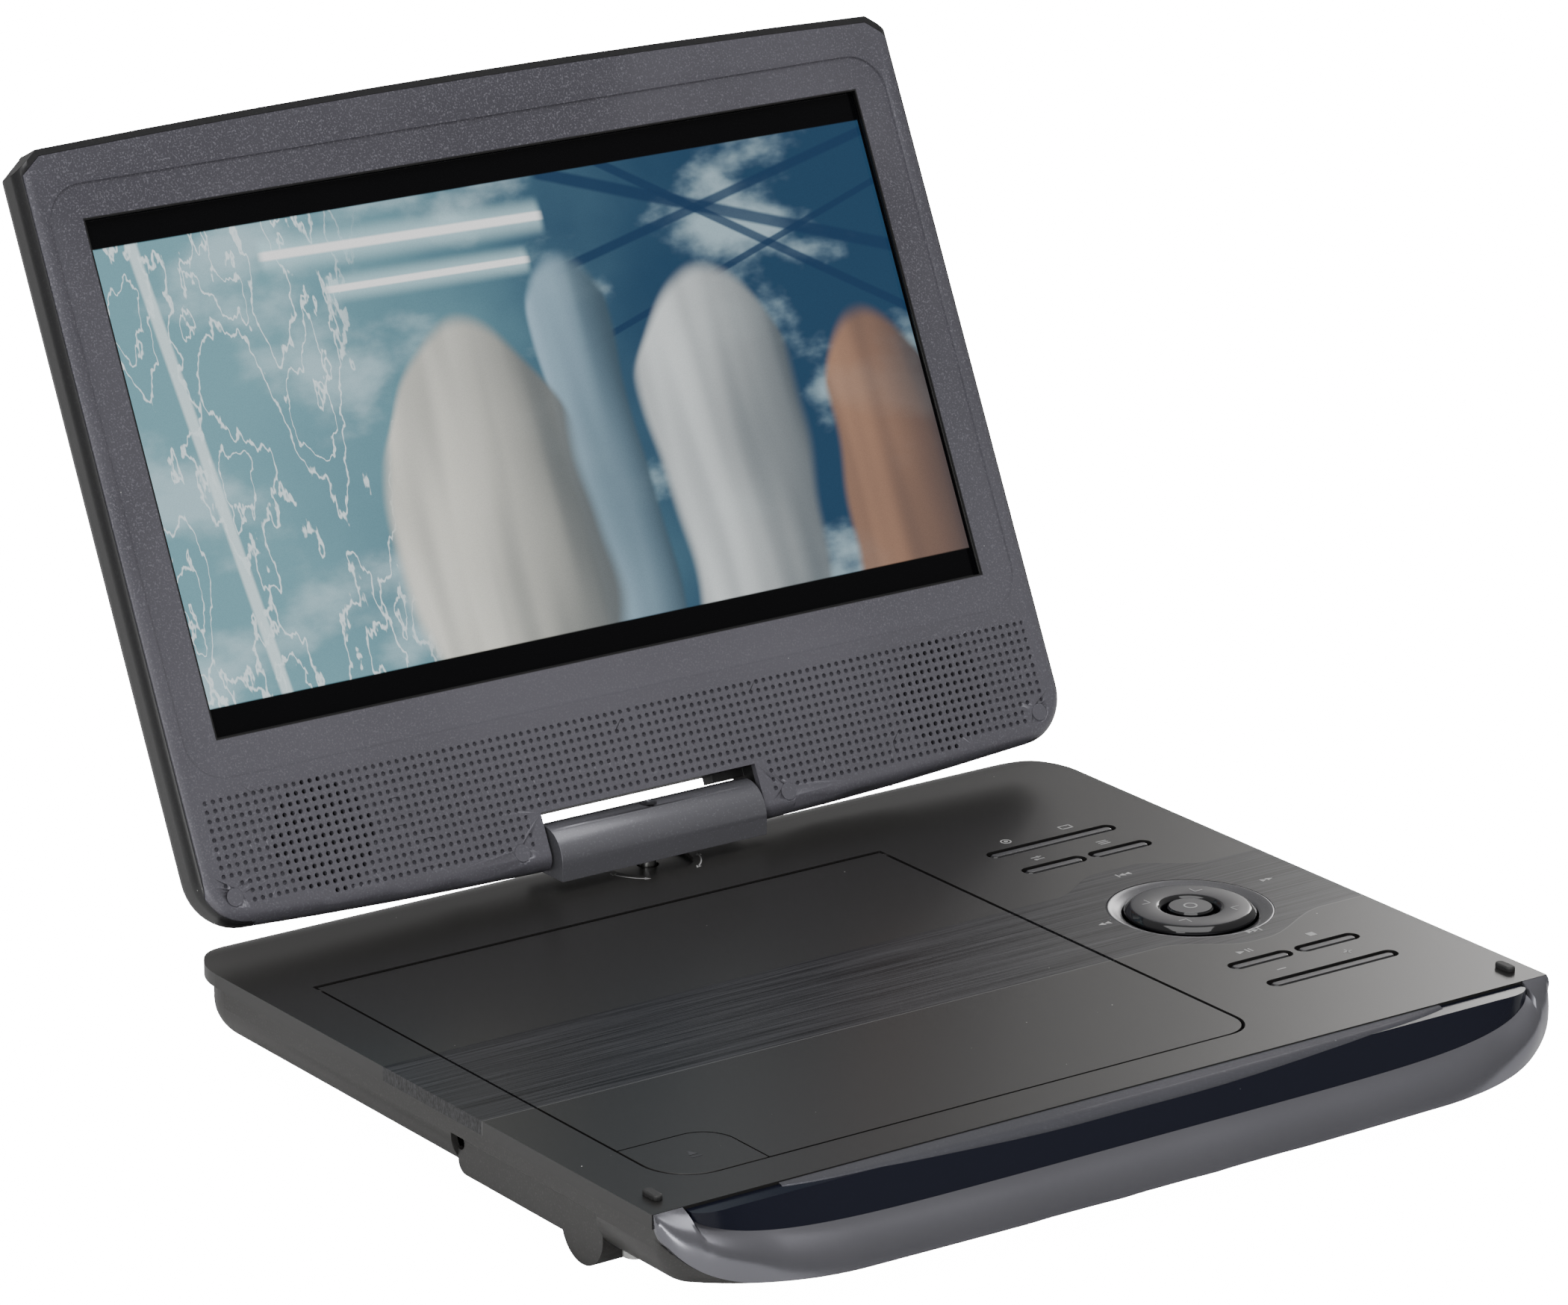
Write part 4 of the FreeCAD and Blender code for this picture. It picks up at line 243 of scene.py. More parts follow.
def steel(name, color=(0.55, 0.55, 0.54), rough=0.25):
    """Turned or drawn metal with fine lines."""
    g = Graph(name)
    lines = g.noise(1.0, 2.0, (6.0, 0.6, 6.0))
    g.set(Base_Color=g.mix(color, tuple(c * 0.6 for c in color), lines), Metallic=1.0,
          Roughness=g.between(rough, rough + 0.15, lines), Normal=g.bump(lines, 0.08))
    return g.material


def rubber(name):
    g = Graph(name)
    grain = g.noise(2.0, 3.0)
    g.set(Base_Color=g.mix((0.012, 0.012, 0.012), (0.03, 0.03, 0.03), grain), Roughness=0.6,
          Normal=g.bump(grain, 0.2))
    return g.material


def board(name):
    """Green solder mask with paler tracks and tinned pads; dark parts stand on it."""
    g = Graph(name)
    ripple = g.math("SUBTRACT", g.noise(0.3, 0.0, (1.0, 1.0, 0.0)), 0.5)
    tracks = g.step(g.math("ABSOLUTE", ripple), 0.0, 0.03, 1.0, 0.0)
    distance, color = g.cells(0.4)
    pads = g.math("LESS_THAN", distance, 0.16)
    tone = g.mix((0.008, 0.05, 0.02), (0.02, 0.12, 0.05), tracks)
    g.set(Base_Color=g.mix(tone, (0.5, 0.48, 0.42), pads), Metallic=pads, Roughness=0.35)
    return g.material


def dial_paint(name):
    """Satin on the faces that look up, polished black on the flanks."""
    g = Graph(name)
    geometry = g.nodes.new("ShaderNodeTexCoord")
    facing = g.split(geometry.outputs["Normal"])[2]
    top = g.step(facing, 0.93, 0.985)
    grain = g.noise(2.6, 2.0)
    tone = g.mix((0.004, 0.004, 0.005), (0.036, 0.036, 0.040), top)
    g.set(Base_Color=g.mix(tone, (0.4, 0.4, 0.4), g.dust(share=0.04)), Roughness=g.between(0.07, 0.42, top),
          Normal=g.bump(grain, 0.05))
    return g.material


def bezel_paint(name):
    """Violet-grey metallic satin with painted shading, lighter towards the bottom and darker towards the top rim;
    the seam round the window nearly black.
    """
    g = Graph(name)
    x, up = upright_place(g)
    glitter = g.step(g.noise(2.2, 2.0), 0.5, 0.75)
    cloud = g.noise(0.015, 2.0)
    tone = g.mix((0.066, 0.064, 0.078), (0.17, 0.167, 0.195), glitter)
    tone = g.mix(tone, (0.115, 0.112, 0.132), g.step(cloud, 0.4, 0.75, 0.0, 0.5))
    # Painted shading: the bezel turns lighter towards its lower edge and stays darker towards the top rim.
    tone = g.mix(tone, (0.135, 0.132, 0.152), g.step(up, 150.0, 20.0, 0.0, 0.5))
    # A thin black edge runs round the window.
    beyond_side = g.math("SUBTRACT", g.math("ABSOLUTE", x), WINDOW_HALF)
    beyond_end = g.math("MAXIMUM", g.math("SUBTRACT", WINDOW_LOW, up), g.math("SUBTRACT", up, WINDOW_HIGH))
    beyond = g.math("MAXIMUM", beyond_side, beyond_end)
    tone = g.mix((0.006, 0.006, 0.006), tone, g.step(beyond, 0.25, 0.6))
    dust = g.dust(share=0.05)
    g.set(Base_Color=g.mix(tone, (0.4, 0.4, 0.4), dust), Metallic=0.25,
          Roughness=g.between(0.36, 0.46, cloud), Normal=g.bump(g.noise(2.4, 3.0), 0.1))
    return g.material


def shell_paint(name):
    """The case's lower half: warm grey satin with a faint metallic speckle."""
    g = Graph(name)
    cloud = g.noise(0.02, 2.0)
    glitter = g.step(g.noise(2.2, 1.0), 0.55, 0.75)
    tone = g.mix((0.030, 0.029, 0.028), (0.060, 0.058, 0.056), g.math("MULTIPLY", glitter, 0.6))
    dust = g.dust(share=0.05)
    g.set(Base_Color=g.mix(tone, (0.35, 0.35, 0.34), dust), Metallic=0.1,
          Roughness=g.between(0.34, 0.44, cloud), Normal=g.bump(g.noise(2.4, 3.0), 0.1))
    return g.material


def stroke(g, off, half, fade=0.5):
    """A line mask: 1 where the offset is small, soft at its sides."""
    return g.step(g.math("ABSOLUTE", off), half * fade, half, 1.0, 0.0)


def within(g, value, low, high, soft=0.012):
    """1 between two limits."""
    risen = g.step(value, low - soft, low + soft)
    fallen = g.step(value, high - soft, high + soft, 1.0, 0.0)
    return g.math("MULTIPLY", risen, fallen)


def slope_from(g, u, v, start_u, start_v, slope):
    """How far v lies from a sloping line through a start point."""
    rise = g.math("MULTIPLY", g.math("SUBTRACT", u, start_u), slope)
    return g.math("SUBTRACT", v, g.math("ADD", rise, start_v))


def column(g, room, u, v, flat, centre, half, top, color):
    """A rounded, softly lit column standing on the picture's lower edge."""
    wobble = g.math("MULTIPLY", g.math("SUBTRACT", g.noise(2.2, 1.0, where=flat), 0.5), 0.8)
    across = g.math("ADD", g.math("DIVIDE", g.math("SUBTRACT", u, centre), half), wobble)
    dome = g.math("MULTIPLY", g.math("POWER", g.math("ABSOLUTE", across), 2.0), half)
    below_top = g.math("SUBTRACT", g.math("SUBTRACT", top, dome), v)
    sides = g.step(g.math("ABSOLUTE", across), 0.9, 1.08, 1.0, 0.0)
    body = g.math("MULTIPLY", g.step(below_top, -0.02, 0.03), sides)
    shade = g.step(across, -1.0, 1.1, 1.0, 0.18)
    folds = g.step(g.noise(1.0, 1.0, where=g.join(g.math("MULTIPLY", u, 9.0), v)), 0.36, 0.62, 0.72, 1.1)
    lit = g.mix((0.008, 0.022, 0.036), color, g.math("MULTIPLY", shade, folds))
    return g.mix(room, lit, g.math("MULTIPLY", body, 0.94))


def picture(name):
    """An abstract scene on the screen: light tubes, pale webs, blue beams and rounded columns."""
    g = Graph(name)
    x, up = upright_place(g)
    u = g.math("DIVIDE", x, WINDOW_HALF)
    v = g.math("DIVIDE", g.math("SUBTRACT", up, PICTURE_LOW), PICTURE_HIGH - PICTURE_LOW)
    flat = g.join(u, v)
    # Room mood: teal on the left, deep blue to the top right, pale patches between.
    drift = g.noise(1.6, 4.0, where=flat)
    room = g.mix((0.16, 0.33, 0.38), (0.016, 0.05, 0.10), g.step(g.math("ADD", u, drift), -0.3, 1.0))
    patches = g.step(g.noise(2.4, 5.0, (1.0, 1.6, 1.0), flat), 0.50, 0.66, 0.0, 0.6)
    room = g.mix(room, (0.52, 0.70, 0.76), patches)
    # Blue beams cross the ceiling on the right.
    ceiling = g.math("MULTIPLY", within(g, u, 0.12, 1.1), 0.85)
    for start_v, slope, half in (
        (0.98, -0.34, 0.020),
        (0.80, 0.22, 0.014),
        (1.06, -0.62, 0.016),
        (0.62, 0.30, 0.010),
    ):
        beam = stroke(g, slope_from(g, u, v, 0.2, start_v, slope), half)
        room = g.mix(room, (0.010, 0.035, 0.085), g.math("MULTIPLY", beam, ceiling))
    # Fine pale webs and one leaning pole on the left.
    threads = g.noise(1.0, 5.0, where=g.join(g.math("MULTIPLY", u, 7.0), g.math("MULTIPLY", v, 2.6)))
    web = g.math("MAXIMUM", stroke(g, g.math("SUBTRACT", threads, 0.5), 0.010, 0.2),
                 stroke(g, g.math("SUBTRACT", threads, 0.42), 0.007, 0.2))
    web_zone = g.math("MULTIPLY", within(g, u, -1.1, -0.42, 0.1), 0.85)
    room = g.mix(room, (0.80, 0.90, 0.92), g.math("MULTIPLY", web, web_zone))
    pole = stroke(g, g.math("ADD", g.math("ADD", u, 0.80), g.math("MULTIPLY", v, 0.10)), 0.018)
    room = g.mix(room, (0.70, 0.84, 0.86), g.math("MULTIPLY", pole, 0.8))
    for centre, half, top, color in (
        (0.12, 0.10, 0.82, (0.30, 0.44, 0.54)),
        (-0.18, 0.24, 0.72, (0.74, 0.72, 0.64)),
        (0.45, 0.19, 0.74, (0.66, 0.70, 0.70)),
        (0.87, 0.15, 0.58, (0.34, 0.19, 0.12)),
    ):
        room = column(g, room, u, v, flat, centre, half, top, color)
    # Two light tubes hang upper left.
    for start_u, start_v, slope, end_u, half in (
        (-0.60, 0.925, -0.02, 0.11, 0.013),
        (-0.46, 0.83, -0.02, 0.05, 0.010),
    ):
        off = slope_from(g, u, v, start_u, start_v, slope)
        span = within(g, u, start_u, end_u)
        glow = g.math("MULTIPLY", stroke(g, off, half * 4, 0.1), g.math("MULTIPLY", span, 0.6))
        room = g.mix(room, (0.55, 0.80, 0.86), glow)
        room = g.mix(room, (1.0, 1.0, 1.0), g.math("MULTIPLY", stroke(g, off, half), span))
    # Film grain, then the black bars above and below.
    room = g.mix(room, (0.0, 0.0, 0.0), g.step(g.noise(6.0, 1.0), 0.35, 0.7, 0.0, 0.12))
    shown = g.mix((0.0, 0.0, 0.0), room, within(g, v, 0.0, 1.0, 0.002))
    g.set(Base_Color=(0.002, 0.002, 0.0025), Roughness=g.between(0.12, 0.2, drift), Emission_Color=shown,
          Emission_Strength=1.25, Specular_IOR_Level=0.1)
    return g.material


def legend_paint(name):
    """Printed marks: light grey ink, slightly uneven."""
    g = Graph(name)
    g.set(Base_Color=g.mix((0.26, 0.26, 0.26), (0.38, 0.38, 0.38), g.noise(1.5, 2.0)), Roughness=0.5)
    return g.material


# ---------------------------------------------------------------- mesh helpers
def add_mesh(name, points, faces, material, body, slot, *cad_nodes, turn=None, smooth=False):
    """A mesh piece in millimetres, put on a body, standing for any CAD nodes named."""
    mesh = bpy.data.meshes.new(name)
    place = turn or Matrix.Identity(4)
    mesh.from_pydata([place @ (Vector(p) * MM) for p in points], [], faces)
    mesh.validate()
    if smooth:
        mesh.polygons.foreach_set("use_smooth", [True] * len(mesh.polygons))
    piece = bpy.data.objects.new(name, mesh)
    bpy.context.scene.collection.objects.link(piece)
    mesh.materials.append(material)
    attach(piece, body)
    if cad_nodes:
        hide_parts(*cad_nodes)
    return piece


def shift(x, y, z=0.0):
    return Matrix.Translation(Vector((x, y, z)) * MM)


def around(x, y, radius, degrees):
    """The point at a distance and an angle from a centre."""
    turn = math.radians(degrees)
    return x + radius * math.cos(turn), y + radius * math.sin(turn)


class Plate:
    """Gathers thin raised shapes, drawn flat, into one mesh."""

    def __init__(self, low, high):
        self.low, self.high = low, high
        self.points, self.faces = [], []

    def prism(self, outline):
        """A closed outline, anticlockwise, stood between the two levels."""
        first, count = len(self.points), len(outline)
        self.points += [(x, y, self.low) for x, y in outline]
        self.points += [(x, y, self.high) for x, y in outline]
        self.faces.append([first + count + i for i in range(count)])
        self.faces.append([first + count - 1 - i for i in range(count)])
        for i in range(count):
            j = (i + 1) % count
            self.faces.append([first + i, first + j, first + count + j, first + count + i])

    def bar(self, x0, y0, x1, y1, width):
        """A straight stroke."""
        length = math.hypot(x1 - x0, y1 - y0)
        nx, ny = -(y1 - y0) / length * width / 2, (x1 - x0) / length * width / 2
        self.prism([(x0 - nx, y0 - ny), (x1 - nx, y1 - ny), (x1 + nx, y1 + ny), (x0 + nx, y0 + ny)])

    def arc(self, cx, cy, radius, start, end, width, pieces=24):
        """A curved stroke, in degrees anticlockwise."""
        turns = [start + (end - start) * i / pieces for i in range(pieces + 1)]
        outer = [around(cx, cy, radius + width / 2, turn) for turn in turns]
        inner = [around(cx, cy, radius - width / 2, turn) for turn in turns]
        for i in range(pieces):
            self.prism([outer[i], outer[i + 1], inner[i + 1], inner[i]])

    def arrow(self, x, y, size, heading):
        """A filled triangle centred on a point, its tip along the heading in degrees."""
        self.prism([around(x, y, size, heading + turn) for turn in (0, 130, 230)])

    def ring(self, cx, cy, radius, width):
        self.arc(cx, cy, radius, 0, 360, width, 32)

    def add(self, name, material, body, slot, *cad_nodes, turn=None):
        return add_mesh(name, self.points, self.faces, material, body, slot, *cad_nodes, turn=turn)


def pill_outline(half_x, half_y, inset, steps=12):
    """A pill along X, anticlockwise, drawn in by the inset."""
    radius = half_y - inset
    straight = half_x - half_y
    turns = [math.pi * i / steps - math.pi / 2 for i in range(steps + 1)]
    right = [(straight + radius * math.cos(t), radius * math.sin(t)) for t in turns]
    return right + [(-x, -y) for x, y in right]


def lofted(rings):
    """Faces joining equal rings of points, closed at both ends."""
    count = len(rings[0])
    points = [p for ring in rings for p in ring]
    faces = [[i for i in range(count)][::-1]]
    for level in range(len(rings) - 1):
        first = level * count
        for i in range(count):
            j = (i + 1) % count
            faces.append([first + i, first + j, first + count + j, first + count + i])
    faces.append([len(points) - count + i for i in range(count)])
    return points, faces


# ---------------------------------------------------------------- pieces
def centre_of(node):
    low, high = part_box(node)
    return (low + high) / 2 / MM


def make_key_cap(node):
    """A pill key with a polished sloping wall and a satin top, in place of the plain CAD key."""
    low, high = (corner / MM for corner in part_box(node))
    cap_gap, flange = 0.2, 0.6
    half_x, half_y = (high.x - low.x) / 2 - flange - cap_gap, 2.1
    if node == "volume_key":
        half_x = (high.x - low.x) / 2
    shoulder = high.z - 1.35
    levels = (
        (shoulder - 1.0, 0.0),
        (shoulder, 0.0),
        (high.z - 0.80, 0.05),
        (high.z - 0.14, 0.92),
        (high.z - 0.04, 1.06),
        (high.z, 1.22),
        (high.z + 0.02, 1.50),
    )
    rings = [[(x, y, z) for x, y in pill_outline(half_x, half_y, inset)] for z, inset in levels]
    points, faces = lofted(rings)
    centre = centre_of(node)
    add_mesh(node + "_cap", points, faces, PAINT["keys"], node, "keys", node,
             turn=shift(centre.x, centre.y), smooth=True)


def turned(profile, steps=96):
    """A profile of (radius, level) pairs spun about Z; the ends stay open."""
    points, faces = [], []
    for i in range(steps):
        t = 2 * math.pi * i / steps
        points += [(r * math.cos(t), r * math.sin(t), z) for r, z in profile]
    count = len(profile)
    for i in range(steps):
        a, b = i * count, (i + 1) % steps * count
        for k in range(count - 1):
            faces.append([a + k, b + k, b + k + 1, a + k + 1])
    return points, faces


def lip_front(x):
    """How far forward the lip's lower edge stands: a nearly flat middle and swept corners."""
    bow, sweep, flat, reach = 3200.0, 64.0, 80.0, -108.0
    corner = max(0.0, (x - 100.0) / 26.0)
    if x < flat * bow / (bow - sweep):
        return reach + bow - math.sqrt(bow ** 2 - x ** 2)
    centre = reach + bow - math.sqrt((bow - sweep) ** 2 - flat ** 2)
    fuller = 4.2 * corner ** 2 * (1 - corner ** 12)
    return centre - math.sqrt(sweep ** 2 - (x - flat) ** 2) - fuller


def lip_section(x, steps=14):
    """The lip's section at a distance from the middle, as (y, z) points round the skin."""
    front, low, half = -88.5, 7.4, 118.2
    corner = max(0.0, (x - 100.0) / 26.0)
    opened = math.sqrt(max(0.0, 1 - min(1.0, x / half) ** 6))
    y_edge = front - 0.2 - 10.8 * opened
    z_edge = TOP - 0.8 * min(1.0, opened * 8) - 7.2 * opened
    y_low = min(lip_front(x), y_edge - 0.9)
    z_low = low + (TOP - low) * (1 - math.sqrt(max(0.0, 1 - corner ** 2.55)))
    belly = 0.14 + 0.10 * math.sin(math.pi * min(1.0, corner)) ** 2
    y_pull = (y_edge + y_low) / 2 - 2 * belly * (z_edge - z_low)
    z_pull = (z_edge + z_low) / 2 + 2 * belly * (y_edge - y_low)
    skin = min(2.2, 0.45 * (z_edge - z_low))
    points = []
    for i in range(steps + 1):
        t = i / steps
        a, b, c = (1 - t) ** 2, 2 * t * (1 - t), t ** 2
        points.append((a * y_edge + b * y_pull + c * y_low, a * z_edge + b * z_pull + c * z_low))
    points.append((min(y_low + skin, front), z_low))
    points.append((min(y_edge + 0.45 * skin, front), z_edge - skin))
    return points


def make_lip(pieces=90):
    """The front lip as one smooth skin."""
    rings = []
    for i in range(-pieces, pieces + 1):
        x = 125.8 * math.sin(math.pi / 2 * i / pieces)
        rings.append([(x, y, z) for y, z in lip_section(abs(x))])
    points, faces = lofted(rings)
    piece = add_mesh("front_lip", points, faces, PAINT["lip"], "base", "lip", "front_trim")
    smooth_by_angle(piece.data, 40)


def make_nav_ring():
    """The four-way ring: satin top, polished bevel, polished groove lip inside."""
    low, high = (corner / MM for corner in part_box("nav_ring"))
    radius, top = (high.x - low.x) / 2, high.z
    inner = 6.8
    profile = (
        (inner, top - 3.2), (radius - 0.3, top - 3.2), (radius, top - 1.4), (radius - 0.15, top - 1.1),
        (radius - 1.15, top - 0.32), (radius - 1.35, top - 0.2), (radius - 2.2, top),
        (inner + 1.6, top - 0.1), (inner + 0.9, top - 0.2), (inner + 0.25, top - 0.75),
        (inner, top - 1.1), (inner, top - 3.2),
    )
    points, faces = turned(profile)
    add_mesh("nav_ring_turned", points, faces, PAINT["dial"], "nav_ring", "dial", "nav_ring",
             turn=shift(DIAL.x, DIAL.y), smooth=True)
    marks = Plate(top - 0.08, top + 0.03)
    for quarter in range(4):
        corner = 45 + 90 * quarter
        tip = around(0.0, 0.0, 9.6, corner)
        for side in (-1, 1):
            marks.bar(*tip, *around(*tip, 2.3, corner + side * 42), 0.24)
    marks.add("nav_ring_marks", PAINT["legend"], "nav_ring", "dial", turn=shift(DIAL.x, DIAL.y))


def pointer_plate():
    return Plate(TOP - 0.03, TOP + 0.05)


def make_legends():
    """Generic signs beside the keys and round the dial."""
    # Skip back and forward lie behind and in front of the dial, rewind and fast forward at its sides.
    for name, x, y, heading, bars in (
        ("skip_back_sign", 88.3, 21.5, 180, True),
        ("skip_on_sign", 88.4, -26.7, 0, True),
        ("rewind_sign", 63.2, -2.8, 180, False),
        ("wind_on_sign", 113.7, -0.9, 0, False),
    ):
        sign = pointer_plate()
        way = 1 if heading == 0 else -1
        for offset in (-0.85, 0.85):
            sign.arrow(x + offset, y, 1.05, heading)
        if bars:
            sign.bar(x + way * 2.25, y - 1.0, x + way * 2.25, y + 1.0, 0.4)
        sign.add(name, PAINT["legend"], "base", "top_case")
    play = pointer_plate()
    play.arrow(77.0, -36.3, 1.2, 0)
    for x in (79.1, 80.1):
        play.bar(x, -37.3, x, -35.3, 0.4)
    play.add("play_sign", PAINT["legend"], "base", "top_case")
    stop = pointer_plate()
    stop.bar(97.4, -36.3, 99.5, -36.3, 2.1)
    stop.add("stop_sign", PAINT["legend"], "base", "top_case")
    volume = pointer_plate()
    volume.bar(76.8, -50.2, 79.4, -50.2, 0.42)
    volume.bar(96.7, -50.2, 99.3, -50.2, 0.42)
    volume.bar(98.0, -51.5, 98.0, -48.9, 0.42)
    volume.add("volume_signs", PAINT["legend"], "base", "top_case")
    # Plain picture signs stand where the keys' names would be.
    source = pointer_plate()
    source.ring(79.0, 56.6, 1.25, 0.35)
    source.ring(79.0, 56.6, 0.35, 0.35)
    source.bar(95.6, 55.7, 99.0, 55.7, 0.35)
    source.bar(95.6, 57.6, 99.0, 57.6, 0.35)
    source.bar(95.7, 55.7, 95.7, 57.6, 0.35)
    source.bar(98.9, 55.7, 98.9, 57.6, 0.35)
    source.add("source_signs", PAINT["legend"], "base", "top_case")
    menu = pointer_plate()
    for row in range(3):
        menu.bar(96.6, 41.6 + row * 0.95, 99.6, 41.6 + row * 0.95, 0.32)
    menu.add("menu_sign", PAINT["legend"], "base", "top_case")
    setup = pointer_plate()
    for row, knob in enumerate((0.6, 2.0)):
        setup.bar(76.6, 42.0 + row * 1.4, 79.6, 42.0 + row * 1.4, 0.28)
        setup.ring(76.6 + knob, 42.0 + row * 1.4, 0.35, 0.3)
    setup.add("setup_sign", PAINT["legend"], "base", "top_case")
    opener = Plate(TOP - 0.13, TOP - 0.05)
    opener.arrow(-99.0, -64.4, 1.5, 90)
    opener.bar(-100.4, -66.6, -97.6, -66.6, 0.45)
    opener.add("open_sign", PAINT["keys"], "open_button", "door")
    centre = Plate(TOP + 0.67, TOP + 0.75)
    centre.ring(0.0, 0.0, 1.5, 0.4)
    centre.add("ok_sign", PAINT["legend"], "ok_button", "dial", turn=shift(DIAL.x, DIAL.y))


def make_swivel_signs():
    """Arrows round the swivel post that show which way the screen turns."""
    post_y = centre_of("swivel_post").y
    arcs = pointer_plate()
    for middle in (215, 325):
        arcs.arc(0.0, post_y, 13.0, middle - 20, middle + 20, 0.35)
        for end, way in ((middle - 20, -90), (middle + 20, 90)):
            arcs.arrow(*around(0.0, post_y, 13.0, end), 0.9, end + way)
    arcs.add("swivel_signs", PAINT["legend"], "base", "top_case")


def hole_places():
    """Centres of the grille's holes, across and up from the tilt axis, and whether they go through."""
    pitch, speaker_x, speaker_up, open_reach = 2.2, 90.5, 16.4, 13.6
    columns = [0.0] + [side * (speaker_x - pitch * n) for side in (-1, 1) for n in range(-13, 41)]
    places = []
    for row in range(-6, 7):
        up = speaker_up + pitch * row
        for x in columns:
            if up < 11.0 and abs(x) < 33.5:
                continue
            if abs(x) > 119.6 or (up < 9.0 and abs(x) > 113.5) or (up < 4.5 and abs(x) > 91.5):
                continue
            if min(math.hypot(abs(x) - px, up - pz) for px, pz in ((117.46, 6.85), (38.95, 1.75))) < 3.3:
                continue
            through = math.hypot(abs(x) - speaker_x, up - speaker_up) < open_reach
            places.append((x, up, through))
    return places


def make_bezel():
    """The bezel with its grille of small holes: shallow ones, and open ones before the speakers."""
    source = NODES["lid_bezel"]
    work = bmesh.new()
    work.from_mesh(source.data)
    bmesh.ops.remove_doubles(work, verts=work.verts, dist=1e-6)
    mesh = bpy.data.meshes.new("bezel")
    work.to_mesh(mesh)
    work.free()
    piece = bpy.data.objects.new("bezel_with_grille", mesh)
    bpy.context.scene.collection.objects.link(piece)
    cutter = Plate(0.0, 1.0)
    sides, radius, blind = 10, 0.6, 0.75
    for x, up, through in hole_places():
        outline = [around(x, up, radius, 360 * i / sides) for i in range(sides)]
        cutter.low = BEZEL_FACE - 1.0
        cutter.high = BEZEL_FACE + (2.2 if through else blind)
        cutter.prism(outline)
    # Drawn across and up, so swap depth and height before leaning back.
    stand = [(x, depth, up) for x, up, depth in cutter.points]
    faces = [face[::-1] for face in cutter.faces]
    drill_mesh = bpy.data.meshes.new("drill")
    drill_mesh.from_pydata([LEANT @ (Vector(p) * MM) for p in stand], [], faces)
    drill = bpy.data.objects.new("drill", drill_mesh)
    bpy.context.scene.collection.objects.link(drill)
    cut = piece.modifiers.new("grille", "BOOLEAN")
    cut.object = drill
    cut.operation = "DIFFERENCE"
    cut.solver = "MANIFOLD"
    graph = bpy.context.evaluated_depsgraph_get()
    finished = bpy.data.meshes.new_from_object(piece.evaluated_get(graph))
    piece.modifiers.clear()
    piece.data = finished
    bpy.data.objects.remove(drill)
    finished.materials.clear()
    finished.materials.append(PAINT["bezel"])
    smooth_by_angle(finished)
    flatten(piece)
    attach(piece, "screen_half")
    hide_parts("lid_bezel")


def flatten(piece):
    """Keep flat faces looking flat beside rounded ones."""
    shade = piece.modifiers.new("flat faces", "WEIGHTED_NORMAL")
    shade.keep_sharp = True
    shade.weight = 60


def smooth_by_angle(mesh, degrees=32):
    mesh.polygons.foreach_set("use_smooth", [True] * len(mesh.polygons))
    mesh.set_sharp_from_angle(angle=math.radians(degrees))


def make_picture():
    """The picture: a thin sheet on the display, just inside the window."""
    depth, thick, margin = -3.32, 0.04, 0.3
    sheet = Plate(0, 1)
    sheet.prism([(-WINDOW_HALF + margin, WINDOW_LOW + margin), (WINDOW_HALF - margin, WINDOW_LOW + margin),
                 (WINDOW_HALF - margin, WINDOW_HIGH - margin), (-WINDOW_HALF + margin, WINDOW_HIGH - margin)])
    points = [(x, depth - thick * (1 - z), up) for x, up, z in sheet.points]
    faces = [face[::-1] for face in sheet.faces]
    add_mesh("screen_picture", points, faces, PAINT["picture"], "screen_half", "screen", turn=LEANT)


def soften(node, width=0.15, angle=40):
    """Fine rounded edges on a CAD part."""
    piece = NODES[node]
    weld = piece.modifiers.new("weld", "WELD")
    weld.merge_threshold = 1e-6
    bevel = piece.modifiers.new("edge", "BEVEL")
    bevel.width = width * MM
    bevel.segments = 2
    bevel.limit_method = "ANGLE"
    bevel.angle_limit = math.radians(angle)
    bevel.use_clamp_overlap = False
    bevel.harden_normals = True


# ---------------------------------------------------------------- paint every part
PAINT = {
    "top_case": top_paint("top case paint"),
    "door": top_paint("door paint"),
    "lower_case": shell_paint("lower case paint"),
    "lip": moulded("lip paint", (0.17, 0.17, 0.19), 0.25, speckle=0.04, grain=0.06, metal=0.85),
    "recess": gloss("recess gloss", (0.005, 0.006, 0.013), 0.16, shine=0.22),
    "grip_bar": moulded("grip bar paint", (0.12, 0.122, 0.14), 0.20, speckle=0.2, grain=0.06, metal=0.85),
    "keys": dial_paint("key paint"),
    "dial": dial_paint("dial paint"),
    "dial_dish": moulded("dish paint", (0.17, 0.17, 0.18), 0.28, speckle=0.2, metal=0.9),
    "bezel": bezel_paint("bezel paint"),
    "rear_cover": moulded("rear cover paint", (0.012, 0.012, 0.013), 0.34, speckle=0.2),
    "hinge_block": moulded("hinge block paint", (0.13, 0.13, 0.145), 0.30, speckle=0.3, metal=0.4),
    "screen": gloss("display glass", (0.004, 0.004, 0.005), 0.1),
    "picture": picture("screen picture"),
    "legend": legend_paint("printed signs"),
    "inner_plastic": moulded("inner plastic", (0.02, 0.02, 0.02), 0.5),
    "rubber": rubber("rubber"),
    "plugs": moulded("plug rubber", (0.085, 0.083, 0.098), 0.45, speckle=0.4),
    "steel": steel("steel"),
    "motor": steel("motor can", (0.45, 0.44, 0.42), 0.35),
    "lens": gloss("lens", (0.03, 0.05, 0.09), 0.03),
    "circuit_board": board("circuit board"),
    "socket": moulded("socket plastic", (0.015, 0.015, 0.015), 0.4),
    "battery": moulded("battery wrap", (0.02, 0.06, 0.16), 0.35),
    "speaker": moulded("speaker cone", (0.015, 0.015, 0.016), 0.6),
}


